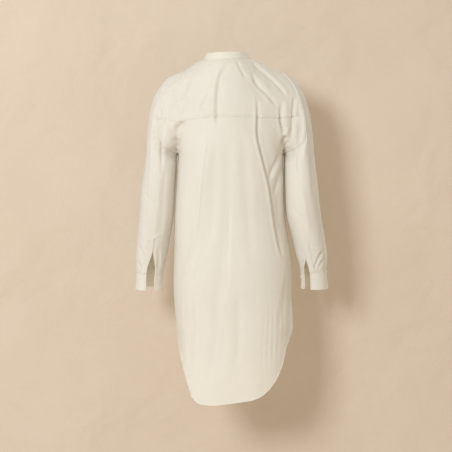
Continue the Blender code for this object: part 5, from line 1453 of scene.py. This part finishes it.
# ---------------------------------------------------------------- the buttons
# Small round buttons of pale shell with a raised rim, sewn on through four holes with crossed
# threads: one at the collar, eight down the placket and one on the outer side of each cuff.
BUTTON_RADIUS, BUTTON_THICK = 0.0055, 0.0024
RIM, RIM_SLOPE, DISH = 0.0012, 0.0004, 0.0007     # width of the rim, of its slope, and its height
HOLE_RADIUS, HOLE_OFF = 0.00062, 0.0013
EDGE_ROUND = 0.0004
BAR_RADIUS, BAR_OVER = 0.00042, 0.0006    # a bar of thread runs this much beyond its two holes
BAR_LIFT, BAR_CROSSES = 0.0003, 0.0002    # it lies so far up, and the second one over the first
SHELL_COLOUR = (0.84, 0.80, 0.70)
SHELL_TONES = ((0.80, 0.755, 0.65), (0.88, 0.855, 0.77))


def shell_material():
    """Polished shell: pale, clouded, with faint growth lines."""
    material = plain("button_shell", SHELL_COLOUR, 0.28)
    nodes, links = material.node_tree.nodes, material.node_tree.links
    shader = nodes["Principled BSDF"]
    place = added(nodes, "TexCoord")
    lines = added(nodes, "TexWave", {"Scale": 160.0, "Distortion": 9.0, "Detail": 3.0})
    tone = two_tones(nodes, *SHELL_TONES)
    links.new(place.outputs["Object"], lines.inputs["Vector"])
    links.new(lines.outputs["Fac"], tone.inputs["Factor"])
    links.new(tone.outputs["Result"], shader.inputs["Base Color"])
    shader.inputs["Coat Weight"].default_value = 0.4
    return material


def turned_button(name):
    """A button lying flat: rounded outside, a raised rim, a dished middle and four holes."""
    bpy.ops.object.select_all(action="DESELECT")
    bpy.ops.mesh.primitive_cylinder_add(vertices=40, radius=BUTTON_RADIUS, depth=BUTTON_THICK)
    piece = bpy.context.active_object
    piece.name = piece.data.name = name
    edit = bmesh.new()
    edit.from_mesh(piece.data)
    top = max(edit.faces, key=lambda face: face.calc_center_median().z)
    bmesh.ops.inset_region(edit, faces=[top], thickness=RIM)
    bmesh.ops.inset_region(edit, faces=[top], thickness=RIM_SLOPE, depth=-DISH)
    edit.to_mesh(piece.data)
    edit.free()
    for k in range(4):
        turn = math.radians(45 + 90 * k)
        bpy.ops.mesh.primitive_cylinder_add(
            vertices=12, radius=HOLE_RADIUS, depth=2 * BUTTON_THICK,
            location=(HOLE_OFF * math.cos(turn), HOLE_OFF * math.sin(turn), 0))
        drill = bpy.context.active_object
        cut = piece.modifiers.new("hole", "BOOLEAN")
        cut.operation, cut.object = "DIFFERENCE", drill
        bpy.context.view_layer.objects.active = piece
        bpy.ops.object.modifier_apply(modifier=cut.name)
        bpy.data.objects.remove(drill)
    bevel = piece.modifiers.new("edge", "BEVEL")
    bevel.width, bevel.segments, bevel.limit_method = EDGE_ROUND, 2, "ANGLE"
    bevel.angle_limit = math.radians(50)
    bpy.ops.object.modifier_apply(modifier=bevel.name)
    piece.data.shade_smooth()
    piece.data.set_sharp_from_angle(angle=math.radians(40))
    return piece


def crossed_threads(name):
    """Two crossed bars of thread over the middle of a button."""
    bars = []
    for k in range(2):
        bpy.ops.object.select_all(action="DESELECT")
        bpy.ops.mesh.primitive_cylinder_add(
            vertices=8, radius=BAR_RADIUS, depth=2 * HOLE_OFF + BAR_OVER,
            location=(0, 0, BUTTON_THICK / 2 - DISH + BAR_LIFT + BAR_CROSSES * k),
            rotation=(math.pi / 2, 0, math.radians(45 + 90 * k)))
        bars.append(bpy.context.active_object)
    for bar in bars:
        bar.select_set(True)
    bpy.ops.object.join()
    joined = bpy.context.active_object
    bpy.ops.object.transform_apply(location=True, rotation=True, scale=True)
    joined.name = joined.data.name = name
    return joined


shell_stuff = shell_material()
for node in sorted(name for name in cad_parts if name.startswith("button")):
    solid = bpy.data.objects[node]
    places = np.array([solid.matrix_world @ corner.co for corner in solid.data.vertices])
    middle = places.mean(axis=0)
    axis = Vector(np.linalg.svd(places - middle)[2][2])
    outward = 1 if node.startswith("button_cuff") else -1     # the cuffs' buttons face back
    if axis.y * outward < 0:
        axis.negate()
    stand = Matrix.Translation(middle) @ axis.to_track_quat("Z", "Y").to_matrix().to_4x4()
    disc, knot = turned_button(node + "_disc"), crossed_threads(node + "_thread")
    for part, stuff in ((disc, shell_stuff), (knot, thread)):
        part.data.transform(stand)
        part.data.materials.clear()
        part.data.materials.append(stuff)
    dressed(disc, node)
    dressed(knot)
